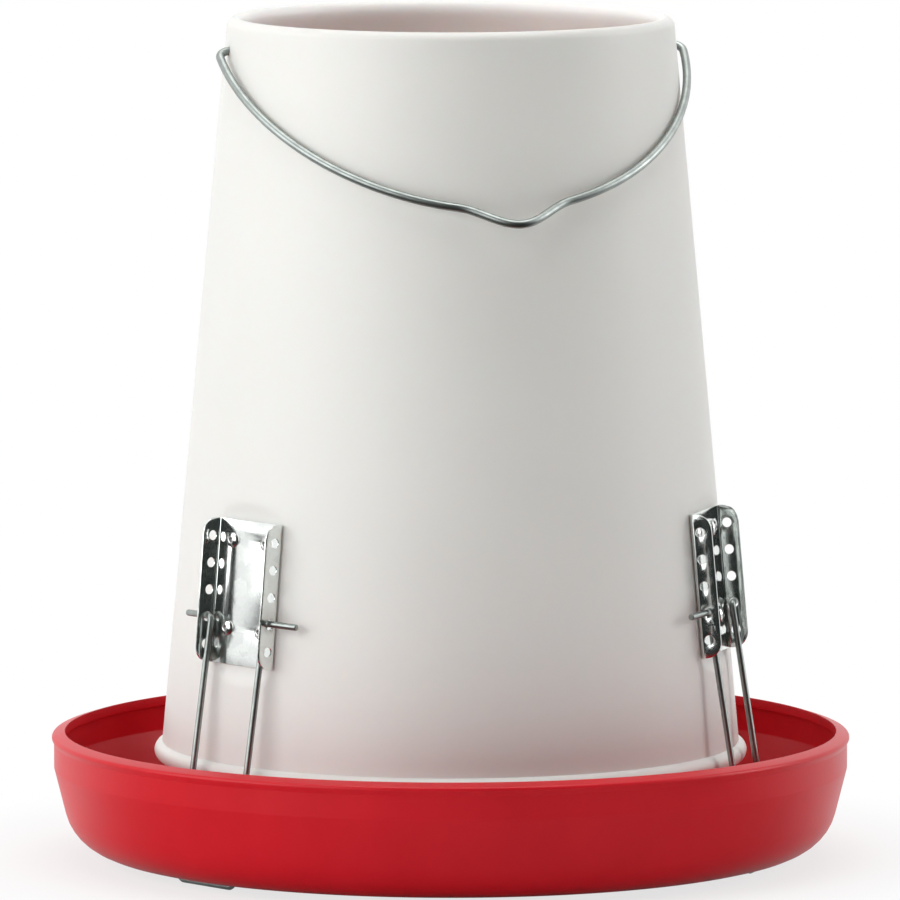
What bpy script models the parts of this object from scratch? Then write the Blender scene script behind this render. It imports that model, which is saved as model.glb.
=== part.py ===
"""Poultry feeder: a white plastic hopper held over a red plastic pan by three spring wire hoops.

Run with blender --background --python part.py, or from Blender's text editor. Metres, +Z up.
The origin is on the ground, on the feeder's own axis. The bail's hinge lies along X, and the bail
hangs against the hopper on the -Y side. Azimuths turn from -Y towards +X.
"""

import math

import bmesh
import bpy
from mathutils import Matrix, Vector

# Clearances and cutters
GAP = 0.0003
PIN_CLEARANCE = 0.0004
RIVET_CLEARANCE = 0.00015
CUT_PAST = 0.002
CUTTER_TO_WALL = 4
WELD_DISTANCE = 1e-5
SHARP_ANGLE = math.radians(35)
ANGLE_TOLERANCE = 1e-6

# Pan
PAN_RADIUS = 0.200
PAN_HEIGHT = 0.0640
PAN_WALL = 0.0028
PAN_STEPS = 64
PAN_RIM_OVERHANG = 0.0011
PAN_RIM_ROUND = 0.0018
PAN_RIM_START = math.radians(75)
PAN_RIM_END = math.radians(-35)
PAN_RIM_STEPS = 4
PAN_RIM_DROP = 0.0034
PAN_RIM_DEPTH = 0.0062
PAN_LIP_WIDTH = 0.0066
PAN_LIP_HEIGHT = 0.0052
PAN_SHOULDER_HEIGHT = 0.0457
PAN_TAPER = math.radians(14.2)
PAN_CORNER = 0.0255
PAN_CORNER_STEPS = 5
FOOT_CLEARANCE = 0.0003
FOOT_RADIUS = 0.125
FOOT_WIDTH = 0.009
FOOT_DRAFT = 0.0006
CONE_RISE = 0.044
CONE_SLOPE = math.radians(28)
CONE_TIP_RADIUS = 0.012
CONE_TIP_STEPS = 2

# Hopper
HOPPER_TOP = 0.4222
HOPPER_BOTTOM = 0.0495
FEED_WIDTH = 0.05455
HOPPER_TAPER = math.radians(5.24)
HOPPER_WALL = 0.0025
HOPPER_STEPS = 64
RIM_BEAD_RADIUS = 0.00465
RIM_BEAD_STEPS = 12
FOOT_BEAD_RADIUS = 0.00475
FOOT_BEAD_RELIEF = 0.0035
FOOT_BEAD_STEPS = 6

# Brackets: channels of galvanised sheet, riveted to flats on the hopper
BRACKET_AZIMUTHS = {
    "left": math.radians(-60),
    "right": math.radians(60),
    "rear": math.radians(180),
}
BRACKET_TOP = 0.1794
BRACKET_WIDTH = 0.0475
BRACKET_HEIGHT = 0.0718
BRACKET_SHEET = 0.0010
BRACKET_BEND = 0.0018
BRACKET_BEND_STEPS = 3
FLANGE_DEPTH = 0.0102
FLANGE_CORNER = 0.0080
FLANGE_CORNER_STEPS = 5
HOLE_COUNT = 5
HOLE_CLEARANCE = 0.0008
HOLE_FROM_END = 0.0090
HOLE_FROM_PLATE = 0.0041
HOLE_IN_USE = 3
HOLE_STEPS = 10
SEAT_MARGIN = 0.0005
SEAT_RAMP = 0.012
SEAT_INSET = 0.0007
SEAT_SKIN = 0.0001
SEAT_OVERRUN = 0.0055

# Blind rivets, four to a bracket
RIVET_SHANK_RADIUS = 0.0020
RIVET_HEAD_RADIUS = 0.0038
RIVET_HEAD_HEIGHT = 0.0012
RIVET_BORE_RADIUS = 0.0011
RIVET_BULB_RADIUS = 0.0030
RIVET_BULB_LENGTH = 0.0036
RIVET_BULB_SHOULDER = 0.0006
RIVET_BULB_WAIST = 0.0018
RIVET_FROM_SIDE = 0.01125
RIVET_FROM_TOP = 0.0104
RIVET_FROM_BOTTOM = 0.0178
RIVET_STEPS = 8

# Spring wire hoops, which carry the hopper on the pan
HOOP_WIRE = 0.0016
HOOP_LEG_CLEARANCE = 0.00344
HOOP_SIDE_CLEARANCE = 0.00115
HOOP_FOOT_BEND = 0.0032
HOOP_TOP_BEND = 0.0025
HOOP_END_REACH = 0.0170
HOOP_END_BEND = 0.0050
HOOP_END_RUN = 0.0030
HOOP_END_SWEEP = math.radians(12)
HOOP_HOLE_CLEARANCE = 0.0011

# Bail
BAIL_WIRE = 0.0021
BAIL_HINGE_DROP = 0.0156
BAIL_STAND_OFF = 0.0032
BAIL_BOW_DEPTH = 0.1466
BAIL_BOW_POWER = 1.88
BAIL_ELBOW = 0.0060
BAIL_HOOK_BEND = 0.0035
BAIL_HOOK_LENGTH = 0.0110
BAIL_HOOK_CLEARANCE = 0.0020
NOTCH_DEPTH = 0.0130
NOTCH_HALF_WIDTH = 0.0325
NOTCH_OFFSET = 0.0070
BOW_STEPS = 15
NOTCH_STEPS = 14
BEND_STEPS = 4
WIRE_RESOLUTION = 2

# Materials: linear colour, roughness and metallic value
RED_PLASTIC = ((0.54, 0.018, 0.026, 1), 0.32, 0)
WHITE_PLASTIC = ((0.80, 0.80, 0.77, 1), 0.42, 0)
GALVANISED_SHEET = ((0.52, 0.54, 0.52, 1), 0.35, 1)
GALVANISED_WIRE = ((0.34, 0.37, 0.34, 1), 0.38, 1)
RIVET_METAL = ((0.66, 0.67, 0.67, 1), 0.4, 1)


def clear_scene():
    for obj in list(bpy.data.objects):
        bpy.data.objects.remove(obj, do_unlink=True)


def new_collection(name):
    made = bpy.data.collections.new(name)
    bpy.context.scene.collection.children.link(made)
    return made


def new_material(name, colour, roughness, metallic):
    made = bpy.data.materials.new(name)
    made.use_nodes = True
    shader = made.node_tree.nodes["Principled BSDF"]
    shader.inputs["Base Color"].default_value = colour
    shader.inputs["Roughness"].default_value = roughness
    shader.inputs["Metallic"].default_value = metallic
    made.diffuse_color = colour
    return made


def new_empty(name, collection, location, rotation):
    made = bpy.data.objects.new(name, None)
    made.location = location
    made.rotation_euler = rotation
    collection.objects.link(made)
    return made


def new_object(name, data, collection, parent=None, location=(0, 0, 0), rotation=(0, 0, 0)):
    made = bpy.data.objects.new(name, data)
    made.parent = parent
    made.location = location
    made.rotation_euler = rotation
    collection.objects.link(made)
    return made


def as_cutter(obj):
    obj.hide_render = True
    obj.display_type = "WIRE"
    return obj


def boolean(obj, cutter, operation):
    modifier = obj.modifiers.new(operation.title() + " " + cutter.name, "BOOLEAN")
    modifier.operation = operation
    modifier.solver = "EXACT"
    modifier.object = cutter


def evaluated_mesh(obj, name):
    """The object's shape with its modifiers applied, as a mesh that other objects can share."""
    bpy.context.view_layer.update()
    graph = bpy.context.evaluated_depsgraph_get()
    mesh = bpy.data.meshes.new_from_object(obj.evaluated_get(graph))
    mesh.name = name
    welded = bmesh.new()
    welded.from_mesh(mesh)
    bmesh.ops.remove_doubles(welded, verts=welded.verts, dist=WELD_DISTANCE)
    welded.to_mesh(mesh)
    welded.free()
    return mesh


def curve_to_mesh(obj, collection):
    """Replaces a curve object with a mesh of the same shape, in the same place."""
    mesh = evaluated_mesh(obj, obj.name)
    made = new_object(obj.name + "_solid", mesh, collection)
    made.matrix_world = obj.matrix_world.copy()
    bpy.data.objects.remove(obj, do_unlink=True)
    return made


def smooth(obj):
    obj.data.shade_smooth()
    obj.data.set_sharp_from_angle(angle=SHARP_ANGLE)


def arc(centre, radius, start, end, steps):
    """Points (r, z) on an arc from one angle to another, both ends included."""
    return [
        (
            centre[0] + radius * math.cos(start + (end - start) * i / steps),
            centre[1] + radius * math.sin(start + (end - start) * i / steps),
        )
        for i in range(steps + 1)
    ]


def turned(name, profile, steps, closed, collection):
    """A profile of (r, z) points turned round Z, its outer side running down."""
    mesh = bpy.data.meshes.new(name)
    edges = [(i, i + 1) for i in range(len(profile) - 1)]
    if closed:
        edges.append((len(profile) - 1, 0))
    mesh.from_pydata([(r, 0, z) for r, z in profile], edges, [])
    made = new_object(name, mesh, collection)
    screw = made.modifiers.new("Turn", "SCREW")
    screw.steps = steps
    screw.render_steps = steps
    screw.use_merge_vertices = True
    screw.merge_threshold = WELD_DISTANCE
    screw.use_smooth_shade = True
    return made


def flat_outline(name, outline, thickness, collection):
    """A closed outline in the local XY plane, given a thickness that is centred on it."""
    curve = bpy.data.curves.new(name, "CURVE")
    curve.dimensions = "2D"
    curve.fill_mode = "BOTH"
    curve.extrude = thickness / 2
    spline = curve.splines.new("POLY")
    spline.points.add(len(outline) - 1)
    for point, (x, y) in zip(spline.points, outline):
        point.co = (x, y, 0, 1)
    spline.use_cyclic_u = True
    return new_object(name, curve, collection)


def wire_curve(name, points, radius):
    curve = bpy.data.curves.new(name, "CURVE")
    curve.dimensions = "3D"
    curve.bevel_depth = radius
    curve.bevel_resolution = WIRE_RESOLUTION
    curve.use_fill_caps = True
    spline = curve.splines.new("POLY")
    spline.points.add(len(points) - 1)
    for point, co in zip(spline.points, points):
        point.co = (*co, 1)
    spline.use_smooth = True
    return curve


def bent_path(corners):
    """Points along straight runs joined by arcs. Each corner is (position, bend radius)."""
    path = [corners[0][0]]
    for (before, _), (corner, radius), (after, _) in zip(corners, corners[1:], corners[2:]):
        back = (before - corner).normalized()
        ahead = (after - corner).normalized()
        half = back.angle(ahead) / 2
        centre = corner + (back + ahead).normalized() * radius / math.sin(half)
        start = corner + back * radius / math.tan(half) - centre
        axis = back.cross(ahead)
        for i in range(BEND_STEPS + 1):
            turn = Matrix.Rotation((2 * half - math.pi) * i / BEND_STEPS, 3, axis)
            path.append(centre + turn @ start)
    path.append(corners[-1][0])
    return path


def cylinders(name, radius, length, places, steps, collection):
    """One cutter that holds a cylinder for each matrix in places, along that matrix's Z."""
    mesh = bpy.data.meshes.new(name)
    shape = bmesh.new()
    for place in places:
        bmesh.ops.create_cone(
            shape,
            cap_ends=True,
            segments=steps,
            radius1=radius,
            radius2=radius,
            depth=length,
            matrix=place,
        )
    shape.to_mesh(mesh)
    shape.free()
    return as_cutter(new_object(name, mesh, collection))


def through(wall):
    """Length of a cutter that is centred on a wall and goes right through it, at a slant too."""
    return CUTTER_TO_WALL * (wall + CUT_PAST)


def hopper_radius(z):
    """Outer radius of the hopper's wall at a height, set by the width of trough left at its foot."""
    return PAN_RADIUS - FEED_WIDTH - (z - HOPPER_BOTTOM) * math.tan(HOPPER_TAPER)


def foot_bead_edge():
    """Greatest radius of the bead on the hopper's foot, and its height."""
    z = HOPPER_BOTTOM + FOOT_BEAD_RADIUS
    return hopper_radius(z) + FOOT_BEAD_RELIEF, z


def seat_depth():
    """How far a bracket's flat lies under the round wall at the middle of its width."""
    radius = hopper_radius(BRACKET_TOP)
    half_width = BRACKET_WIDTH / 2 + SEAT_MARGIN
    return radius - math.sqrt(radius**2 - half_width**2)


def radial_point(azimuth, radius, z):
    return Vector((math.sin(azimuth) * radius, -math.cos(azimuth) * radius, z))


def bracket_frames(collection):
    """An empty on each flat, at the middle of the bracket's top edge: X along, -Y out, Z up the wall."""
    radius = hopper_radius(BRACKET_TOP) - seat_depth() * math.cos(HOPPER_TAPER)
    z = BRACKET_TOP - seat_depth() * math.sin(HOPPER_TAPER)
    return {
        side: new_empty(
            side + "_bracket_frame",
            collection,
            radial_point(azimuth, radius, z),
            (-HOPPER_TAPER, 0, azimuth),
        )
        for side, azimuth in BRACKET_AZIMUTHS.items()
    }


def hole_down(index):
    """How far below the bracket's top edge a flange hole lies, counted from the top."""
    return HOLE_FROM_END + index * (BRACKET_HEIGHT - 2 * HOLE_FROM_END) / (HOLE_COUNT - 1)


def hoop_top():
    """Radius and height of the hoops' ends, which bear on the tops of the flange holes in use."""
    down = hole_down(HOLE_IN_USE) - (HOLE_CLEARANCE - GAP)
    out = GAP + BRACKET_SHEET + HOLE_FROM_PLATE - seat_depth()
    sine = math.sin(HOPPER_TAPER)
    cosine = math.cos(HOPPER_TAPER)
    return (
        hopper_radius(BRACKET_TOP) + down * sine + out * cosine,
        BRACKET_TOP - down * cosine + out * sine,
    )


def foot_height():
    """Height of the ring under the pan: the wires under the base clear the ground."""
    return FOOT_CLEARANCE + 2 * HOOP_WIRE + GAP


def hoop_foot_z():
    """Height of the hoops' crosspieces, just under the pan's base."""
    return FOOT_CLEARANCE + HOOP_WIRE


def hoop_half_spread():
    """Half the distance between a hoop's legs, which stand inside the bracket's flanges."""
    return BRACKET_WIDTH / 2 - BRACKET_SHEET - HOOP_SIDE_CLEARANCE - HOOP_WIRE


def hoop_lean():
    """The legs' angle out from upright, which takes them past the hopper's foot bead."""
    radius, z = hoop_top()
    bead_radius, bead_z = foot_bead_edge()
    return math.atan2(bead_radius + HOOP_LEG_CLEARANCE + HOOP_WIRE - radius, z - bead_z)


def hoop_foot_radius():
    """Where the hoops stand in the pan."""
    radius, z = hoop_top()
    return radius + (z - hoop_foot_z()) * math.tan(hoop_lean())


def hoop_frames(collection):
    """An empty on each hoop's crosspiece, where it turns in the pan: X along it, Z up the legs."""
    return {
        side: new_empty(
            side + "_hoop_frame",
            collection,
            radial_point(azimuth, hoop_foot_radius(), hoop_foot_z()),
            (-hoop_lean(), 0, azimuth),
        )
        for side, azimuth in BRACKET_AZIMUTHS.items()
    }


def pan_corner_centre():
    """Centre of the rounded corner between the pan's base and its tapered wall."""
    z = foot_height() + PAN_CORNER
    wall = PAN_RADIUS - PAN_RIM_OVERHANG
    reach = PAN_CORNER + (PAN_SHOULDER_HEIGHT - z) * math.sin(PAN_TAPER)
    return wall - reach / math.cos(PAN_TAPER), z


def cone_profile(offset, base):
    """The feed cone from its tip down to a base height, drawn inwards by an offset."""
    tip_centre = foot_height() + PAN_WALL + CONE_RISE - CONE_TIP_RADIUS
    upright = math.pi / 2
    radius = CONE_TIP_RADIUS - offset
    points = arc((0, tip_centre), radius, upright, upright - CONE_SLOPE, CONE_TIP_STEPS)
    points[0] = (0, points[0][1])
    r, z = points[-1]
    return points + [(r + (z - base) / math.tan(CONE_SLOPE), base)]


def pan_inside():
    """From the cone's tip, out along the floor and up the wall to the lip's edge."""
    centre = pan_corner_centre()
    wall = PAN_RADIUS - PAN_RIM_OVERHANG - PAN_WALL
    lip = PAN_RADIUS - PAN_LIP_WIDTH
    corner = arc(centre, PAN_CORNER - PAN_WALL, -math.pi / 2, -PAN_TAPER, PAN_CORNER_STEPS)
    return [
        *cone_profile(0, foot_height() + PAN_WALL),
        *corner,
        (wall, PAN_SHOULDER_HEIGHT + PAN_WALL * math.tan(PAN_TAPER / 2)),
        (wall, PAN_HEIGHT - PAN_LIP_HEIGHT),
        (lip, PAN_HEIGHT - PAN_LIP_HEIGHT),
        (lip, PAN_HEIGHT),
    ]


def pan_outside():
    """From the rim's outer round down the wall, in along the base and under the cone."""
    wall = PAN_RADIUS - PAN_RIM_OVERHANG
    rim_centre = (PAN_RADIUS - PAN_RIM_ROUND, PAN_HEIGHT - PAN_RIM_DROP)
    outer_foot = FOOT_RADIUS + FOOT_WIDTH / 2
    inner_foot = FOOT_RADIUS - FOOT_WIDTH / 2
    base = foot_height()
    return [
        *arc(rim_centre, PAN_RIM_ROUND, PAN_RIM_START, PAN_RIM_END, PAN_RIM_STEPS),
        (wall, PAN_HEIGHT - PAN_RIM_DEPTH),
        (wall, PAN_SHOULDER_HEIGHT),
        *arc(pan_corner_centre(), PAN_CORNER, -PAN_TAPER, -math.pi / 2, PAN_CORNER_STEPS),
        (outer_foot, base),
        (outer_foot - FOOT_DRAFT, 0),
        (inner_foot + FOOT_DRAFT, 0),
        (inner_foot, base),
        *reversed(cone_profile(PAN_WALL, base)),
    ]


def make_pan(parts, cutters, material, frames):
    pan = turned("pan", pan_inside() + pan_outside(), PAN_STEPS, False, parts)
    pan.data.materials.append(material)
    bpy.context.view_layer.update()
    above = foot_height() + PAN_WALL / 2 - hoop_foot_z()
    places = [
        frame.matrix_world @ Matrix.Translation((side * hoop_half_spread(), 0, above))
        for frame in frames.values()
        for side in (-1, 1)
    ]
    bore = HOOP_WIRE + HOOP_HOLE_CLEARANCE
    leg_holes = cylinders("leg_holes", bore, through(PAN_WALL), places, HOLE_STEPS, cutters)
    boolean(pan, leg_holes, "DIFFERENCE")
    return pan


def rim_profile():
    """The curled rim, from the wall's inner face round to its outer face."""
    centre_z = HOPPER_TOP - RIM_BEAD_RADIUS
    centre = (hopper_radius(centre_z) - RIM_BEAD_RADIUS / math.cos(HOPPER_TAPER), centre_z)
    inner = HOPPER_TAPER - math.acos((RIM_BEAD_RADIUS - HOPPER_WALL) / RIM_BEAD_RADIUS)
    return arc(centre, RIM_BEAD_RADIUS, inner, HOPPER_TAPER - 2 * math.pi, RIM_BEAD_STEPS)


def foot_bead_profile():
    """The half-round bead on the hopper's bottom edge, from the outer wall to the inner wall."""
    z = HOPPER_BOTTOM + FOOT_BEAD_RADIUS
    outset = FOOT_BEAD_RADIUS - FOOT_BEAD_RELIEF
    centre = (hopper_radius(z) - outset, z)
    start = math.acos(outset * math.cos(HOPPER_TAPER) / FOOT_BEAD_RADIUS) + HOPPER_TAPER
    inner = hopper_radius(HOPPER_BOTTOM) - HOPPER_WALL
    bead = arc(centre, FOOT_BEAD_RADIUS, start, -math.pi / 2, FOOT_BEAD_STEPS)
    return [*bead, (inner, HOPPER_BOTTOM)]


def seat_outline(face, ramp_end, back):
    """A flat's side view, X along the bracket and Y inwards: its face, a ramp at each end, its back."""
    half = BRACKET_HEIGHT / 2 + SEAT_MARGIN
    end = half + SEAT_RAMP
    return [(-half, face), (half, face), (end, ramp_end), (end, back), (-end, back), (-end, ramp_end)]


def seat_solids(name, frames, outlines, width, cutters):
    """One object that holds, on each bracket's frame, an outline extruded across the width."""
    shape = bmesh.new()
    source = flat_outline(name + "_outline", outlines, width, cutters)
    mesh = evaluated_mesh(source, name)
    bpy.data.objects.remove(source, do_unlink=True)
    upright = Matrix(((0, 0, 1, 0), (0, 1, 0, 0), (-1, 0, 0, 0), (0, 0, 0, 1)))
    middle = Matrix.Translation((0, 0, -BRACKET_HEIGHT / 2))
    for frame in frames.values():
        placed = mesh.copy()
        placed.transform(frame.matrix_world @ middle @ upright)
        shape.from_mesh(placed)
        bpy.data.meshes.remove(placed)
    bmesh.ops.recalc_face_normals(shape, faces=shape.faces)
    shape.to_mesh(mesh)
    shape.free()
    return as_cutter(new_object(name, mesh, cutters))


def seat_pads(frames, cutters):
    """What thickens the wall from inside behind each flat, kept just under the wall's round face."""
    depth = seat_depth()
    outline = seat_outline(HOPPER_WALL, HOPPER_WALL - depth - SEAT_SKIN, -depth - CUT_PAST)
    pads = seat_solids("seat_pads", frames, outline, BRACKET_WIDTH - 2 * SEAT_INSET, cutters)
    top = hopper_radius(HOPPER_TOP) - SEAT_SKIN
    bottom = hopper_radius(HOPPER_BOTTOM) - SEAT_SKIN
    profile = [(0, HOPPER_TOP), (top, HOPPER_TOP), (bottom, HOPPER_BOTTOM), (0, HOPPER_BOTTOM)]
    core = as_cutter(turned("wall_core", profile, HOPPER_STEPS, False, cutters))
    boolean(pads, core, "INTERSECT")
    return pads


def seat_flats(frames, cutters):
    """What is cut away outside each flat, wide enough for the flat to run out on the round wall."""
    depth = seat_depth()
    outline = seat_outline(0, -depth, -depth - CUT_PAST)
    width = BRACKET_WIDTH + 2 * (SEAT_MARGIN + SEAT_OVERRUN)
    return seat_solids("seat_flats", frames, outline, width, cutters)


def rivet_places():
    """Places of the rivets in a bracket's frame, each with its name."""
    rows = {"upper_": RIVET_FROM_TOP, "lower_": BRACKET_HEIGHT - RIVET_FROM_BOTTOM}
    across = BRACKET_WIDTH / 2 - RIVET_FROM_SIDE
    return {
        row_name + side_name: Vector((side * across, 0, -down))
        for row_name, down in rows.items()
        for side_name, side in (("left", -1), ("right", 1))
    }


def make_hopper(parts, cutters, material, frames):
    hopper = turned("hopper", foot_bead_profile() + rim_profile(), HOPPER_STEPS, True, parts)
    hopper.data.materials.append(material)
    bpy.context.view_layer.update()
    boolean(hopper, seat_pads(frames, cutters), "UNION")
    boolean(hopper, seat_flats(frames, cutters), "DIFFERENCE")
    across = Matrix.Rotation(math.pi / 2, 4, "X")
    places = [
        frame.matrix_world @ Matrix.Translation(place) @ across
        for frame in frames.values()
        for place in rivet_places().values()
    ]
    bore = RIVET_SHANK_RADIUS + RIVET_CLEARANCE
    rivet_holes = cylinders("rivet_holes", bore, through(HOPPER_WALL), places, HOLE_STEPS, cutters)
    boolean(hopper, rivet_holes, "DIFFERENCE")
    hinge = Matrix.Translation((0, 0, bail_hinge_z())) @ Matrix.Rotation(math.pi / 2, 4, "Y")
    bore = BAIL_WIRE + PIN_CLEARANCE
    length = 2 * (hopper_radius(HOPPER_BOTTOM) + CUT_PAST)
    bail_holes = cylinders("bail_holes", bore, length, [hinge], HOLE_STEPS, cutters)
    boolean(hopper, bail_holes, "DIFFERENCE")
    return hopper


def channel_section():
    """The bent sheet seen from above: its back along X, its flanges towards -Y."""
    half = BRACKET_WIDTH / 2
    back = -GAP
    front = back - BRACKET_SHEET - FLANGE_DEPTH
    centre = (half - BRACKET_BEND, back - BRACKET_BEND)
    outer = arc(centre, BRACKET_BEND, math.pi / 2, 0, BRACKET_BEND_STEPS)
    inner = arc(centre, BRACKET_BEND - BRACKET_SHEET, 0, math.pi / 2, BRACKET_BEND_STEPS)
    right = [*outer, (half, front), (half - BRACKET_SHEET, front), *inner]
    return right + [(-x, y) for x, y in reversed(right)]


def flange_outline():
    """A flange's side view, X up the wall and Y out from the plate, its outer corners rounded."""
    bottom = -BRACKET_HEIGHT
    edge = GAP + BRACKET_SHEET + FLANGE_DEPTH
    high_centre = (-FLANGE_CORNER, edge - FLANGE_CORNER)
    low_centre = (bottom + FLANGE_CORNER, edge - FLANGE_CORNER)
    high = arc(high_centre, FLANGE_CORNER, 0, math.pi / 2, FLANGE_CORNER_STEPS)
    low = arc(low_centre, FLANGE_CORNER, math.pi / 2, math.pi, FLANGE_CORNER_STEPS)
    high[-1] = (high[-1][0], edge + CUT_PAST)
    low[0] = (low[0][0], edge + CUT_PAST)
    return [(0, -CUT_PAST), *high, *low, (bottom, -CUT_PAST)]


def bracket_mesh(cutters, material):
    """The bent channel with its rounded flanges, wire holes and rivet holes."""
    blank = flat_outline("channel", channel_section(), BRACKET_HEIGHT + 2 * CUT_PAST, cutters)
    blank.location.z = -BRACKET_HEIGHT / 2
    bpy.context.view_layer.update()
    channel = as_cutter(curve_to_mesh(blank, cutters))
    outline = flat_outline("flange_outline", flange_outline(), BRACKET_WIDTH + 2 * CUT_PAST, cutters)
    outline.matrix_world = Matrix(((0, 0, 1, 0), (0, -1, 0, 0), (1, 0, 0, 0), (0, 0, 0, 1)))
    bpy.context.view_layer.update()
    boolean(channel, as_cutter(curve_to_mesh(outline, cutters)), "INTERSECT")
    sideways = Matrix.Rotation(math.pi / 2, 4, "Y")
    out = -(GAP + BRACKET_SHEET + HOLE_FROM_PLATE)
    places = [
        Matrix.Translation((0, out, -hole_down(i))) @ sideways
        for i in range(HOLE_COUNT)
    ]
    length = BRACKET_WIDTH + 2 * CUT_PAST
    bore = HOOP_WIRE + HOLE_CLEARANCE
    wire_holes = cylinders("wire_holes", bore, length, places, HOLE_STEPS, cutters)
    boolean(channel, wire_holes, "DIFFERENCE")
    across = Matrix.Rotation(math.pi / 2, 4, "X")
    places = [Matrix.Translation(place) @ across for place in rivet_places().values()]
    bore = RIVET_SHANK_RADIUS + RIVET_CLEARANCE
    plate_holes = cylinders("plate_holes", bore, through(BRACKET_SHEET), places, HOLE_STEPS, cutters)
    boolean(channel, plate_holes, "DIFFERENCE")
    mesh = evaluated_mesh(channel, "bracket")
    mesh.transform(channel.matrix_world)
    mesh.materials.clear()
    mesh.materials.append(material)
    return mesh


def rivet_mesh(cutters, material):
    """A set blind rivet along Z: domed hollow head, shank, and the bulb inside the hopper."""
    under_head = 2 * GAP + BRACKET_SHEET
    top = under_head + RIVET_HEAD_HEIGHT
    blind = -HOPPER_WALL - GAP
    tip = blind - RIVET_BULB_LENGTH
    half_head = RIVET_HEAD_HEIGHT / 2
    profile = [
        (0, under_head),
        (RIVET_BORE_RADIUS, under_head),
        (RIVET_BORE_RADIUS, top),
        (RIVET_SHANK_RADIUS, top),
        (RIVET_HEAD_RADIUS - half_head / 2, under_head + half_head),
        (RIVET_HEAD_RADIUS, under_head),
        (RIVET_SHANK_RADIUS, under_head),
        (RIVET_SHANK_RADIUS, blind),
        (RIVET_BULB_RADIUS, blind - RIVET_BULB_SHOULDER),
        (RIVET_BULB_RADIUS, blind - RIVET_BULB_WAIST),
        (RIVET_SHANK_RADIUS, tip),
        (0, tip),
    ]
    blank = as_cutter(turned("rivet_blank", profile, RIVET_STEPS, False, cutters))
    mesh = evaluated_mesh(blank, "rivet")
    mesh.materials.append(material)
    return mesh


def make_brackets(parts, cutters, frames, sheet, rivet_metal):
    """A bracket and its four rivets on each frame, all brackets and all rivets sharing one mesh."""
    bracket = bracket_mesh(cutters, sheet)
    rivet = rivet_mesh(cutters, rivet_metal)
    for side, frame in frames.items():
        smooth(new_object(side + "_bracket", bracket, parts, frame))
        for place_name, place in rivet_places().items():
            name = f"{side}_rivet_{place_name}"
            smooth(new_object(name, rivet, parts, frame, place, (math.pi / 2, 0, 0)))


def hoop_path():
    """The hoop's wire in its own frame: a crosspiece, two legs, and ends bent out through the holes."""
    rise = (hoop_top()[1] - hoop_foot_z()) / math.cos(hoop_lean())
    leg = hoop_half_spread()
    elbow = BRACKET_WIDTH / 2 + HOOP_END_RUN
    reach = BRACKET_WIDTH / 2 + HOOP_END_REACH - elbow
    sweep = reach * math.tan(HOOP_END_SWEEP)
    half = [
        (Vector((leg, 0, 0)), HOOP_FOOT_BEND),
        (Vector((leg, 0, rise)), HOOP_TOP_BEND),
        (Vector((elbow, 0, rise)), HOOP_END_BEND),
        (Vector((elbow + reach, sweep, rise)), 0),
    ]
    mirrored = [(Vector((-p.x, p.y, p.z)), bend) for p, bend in half]
    return bent_path([*reversed(mirrored), *half])


def make_hoops(parts, frames, material):
    curve = wire_curve("hoop", hoop_path(), HOOP_WIRE)
    curve.materials.append(material)
    for side, frame in frames.items():
        new_object(side + "_hoop", curve, parts, frame)


def bail_hinge_z():
    return HOPPER_TOP - BAIL_HINGE_DROP


def bail_half_width():
    """Half the bow's width: it stands off the hopper's wall at the hinge."""
    return hopper_radius(bail_hinge_z()) + BAIL_STAND_OFF + BAIL_WIRE


def bow_depth(across):
    """The bow is a superellipse, with a cosine notch that holds a hook near its middle."""
    share = min(1, abs(across) / bail_half_width())
    depth = BAIL_BOW_DEPTH * (1 - share**BAIL_BOW_POWER) ** (1 / BAIL_BOW_POWER)
    away = abs(across - NOTCH_OFFSET) / NOTCH_HALF_WIDTH
    if away < 1:
        depth += NOTCH_DEPTH * (1 + math.cos(math.pi * away)) / 2
    return depth


def bow_points():
    """Points of the bow, hanging along -Y in its own frame, from one elbow to the other."""
    first = math.asin((BAIL_ELBOW / BAIL_BOW_DEPTH) ** (BAIL_BOW_POWER / 2))
    half_width = bail_half_width()
    across = []
    for side in (-1, 1):
        edge = abs(side * NOTCH_HALF_WIDTH + NOTCH_OFFSET)
        last = math.acos((edge / half_width) ** (BAIL_BOW_POWER / 2))
        angles = [first + (last - first) * i / BOW_STEPS for i in range(BOW_STEPS)]
        across += [side * half_width * math.cos(angle) ** (2 / BAIL_BOW_POWER) for angle in angles]
    for i in range(NOTCH_STEPS + 1):
        across.append(NOTCH_OFFSET + NOTCH_HALF_WIDTH * (2 * i / NOTCH_STEPS - 1))
    return [Vector((x, -bow_depth(x), 0)) for x in sorted(across)]


def bail_end():
    """One end of the bail in its own frame: a hook inside the hopper, the hinge pin, the elbow."""
    opening = hopper_radius(HOPPER_TOP) - 2 * RIM_BEAD_RADIUS
    hook = opening - BAIL_WIRE - BAIL_HOOK_CLEARANCE
    return [
        (Vector((hook, -BAIL_HOOK_LENGTH, 0)), 0),
        (Vector((hook, 0, 0)), BAIL_HOOK_BEND),
        (Vector((bail_half_width(), 0, 0)), BAIL_ELBOW),
    ]


def bail_path():
    bow = bow_points()
    right = bent_path([*bail_end(), (bow[-1], 0)])[:-1]
    left = [Vector((-p.x, p.y, p.z)) for p in right]
    return [*left, *bow[1:-1], *reversed(right)]


def bail_rest_angle():
    """How far below level the bail hangs when its bow leans on the hopper's wall."""
    low = 0.0
    high = math.pi / 2
    bow = bow_points()
    while high - low > ANGLE_TOLERANCE:
        angle = (low + high) / 2
        room = min(
            math.hypot(p.x, p.y * math.cos(angle))
            - hopper_radius(bail_hinge_z() + p.y * math.sin(angle))
            for p in bow
        )
        if room * math.cos(HOPPER_TAPER) > BAIL_WIRE + GAP:
            low = angle
        else:
            high = angle
    return low


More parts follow.
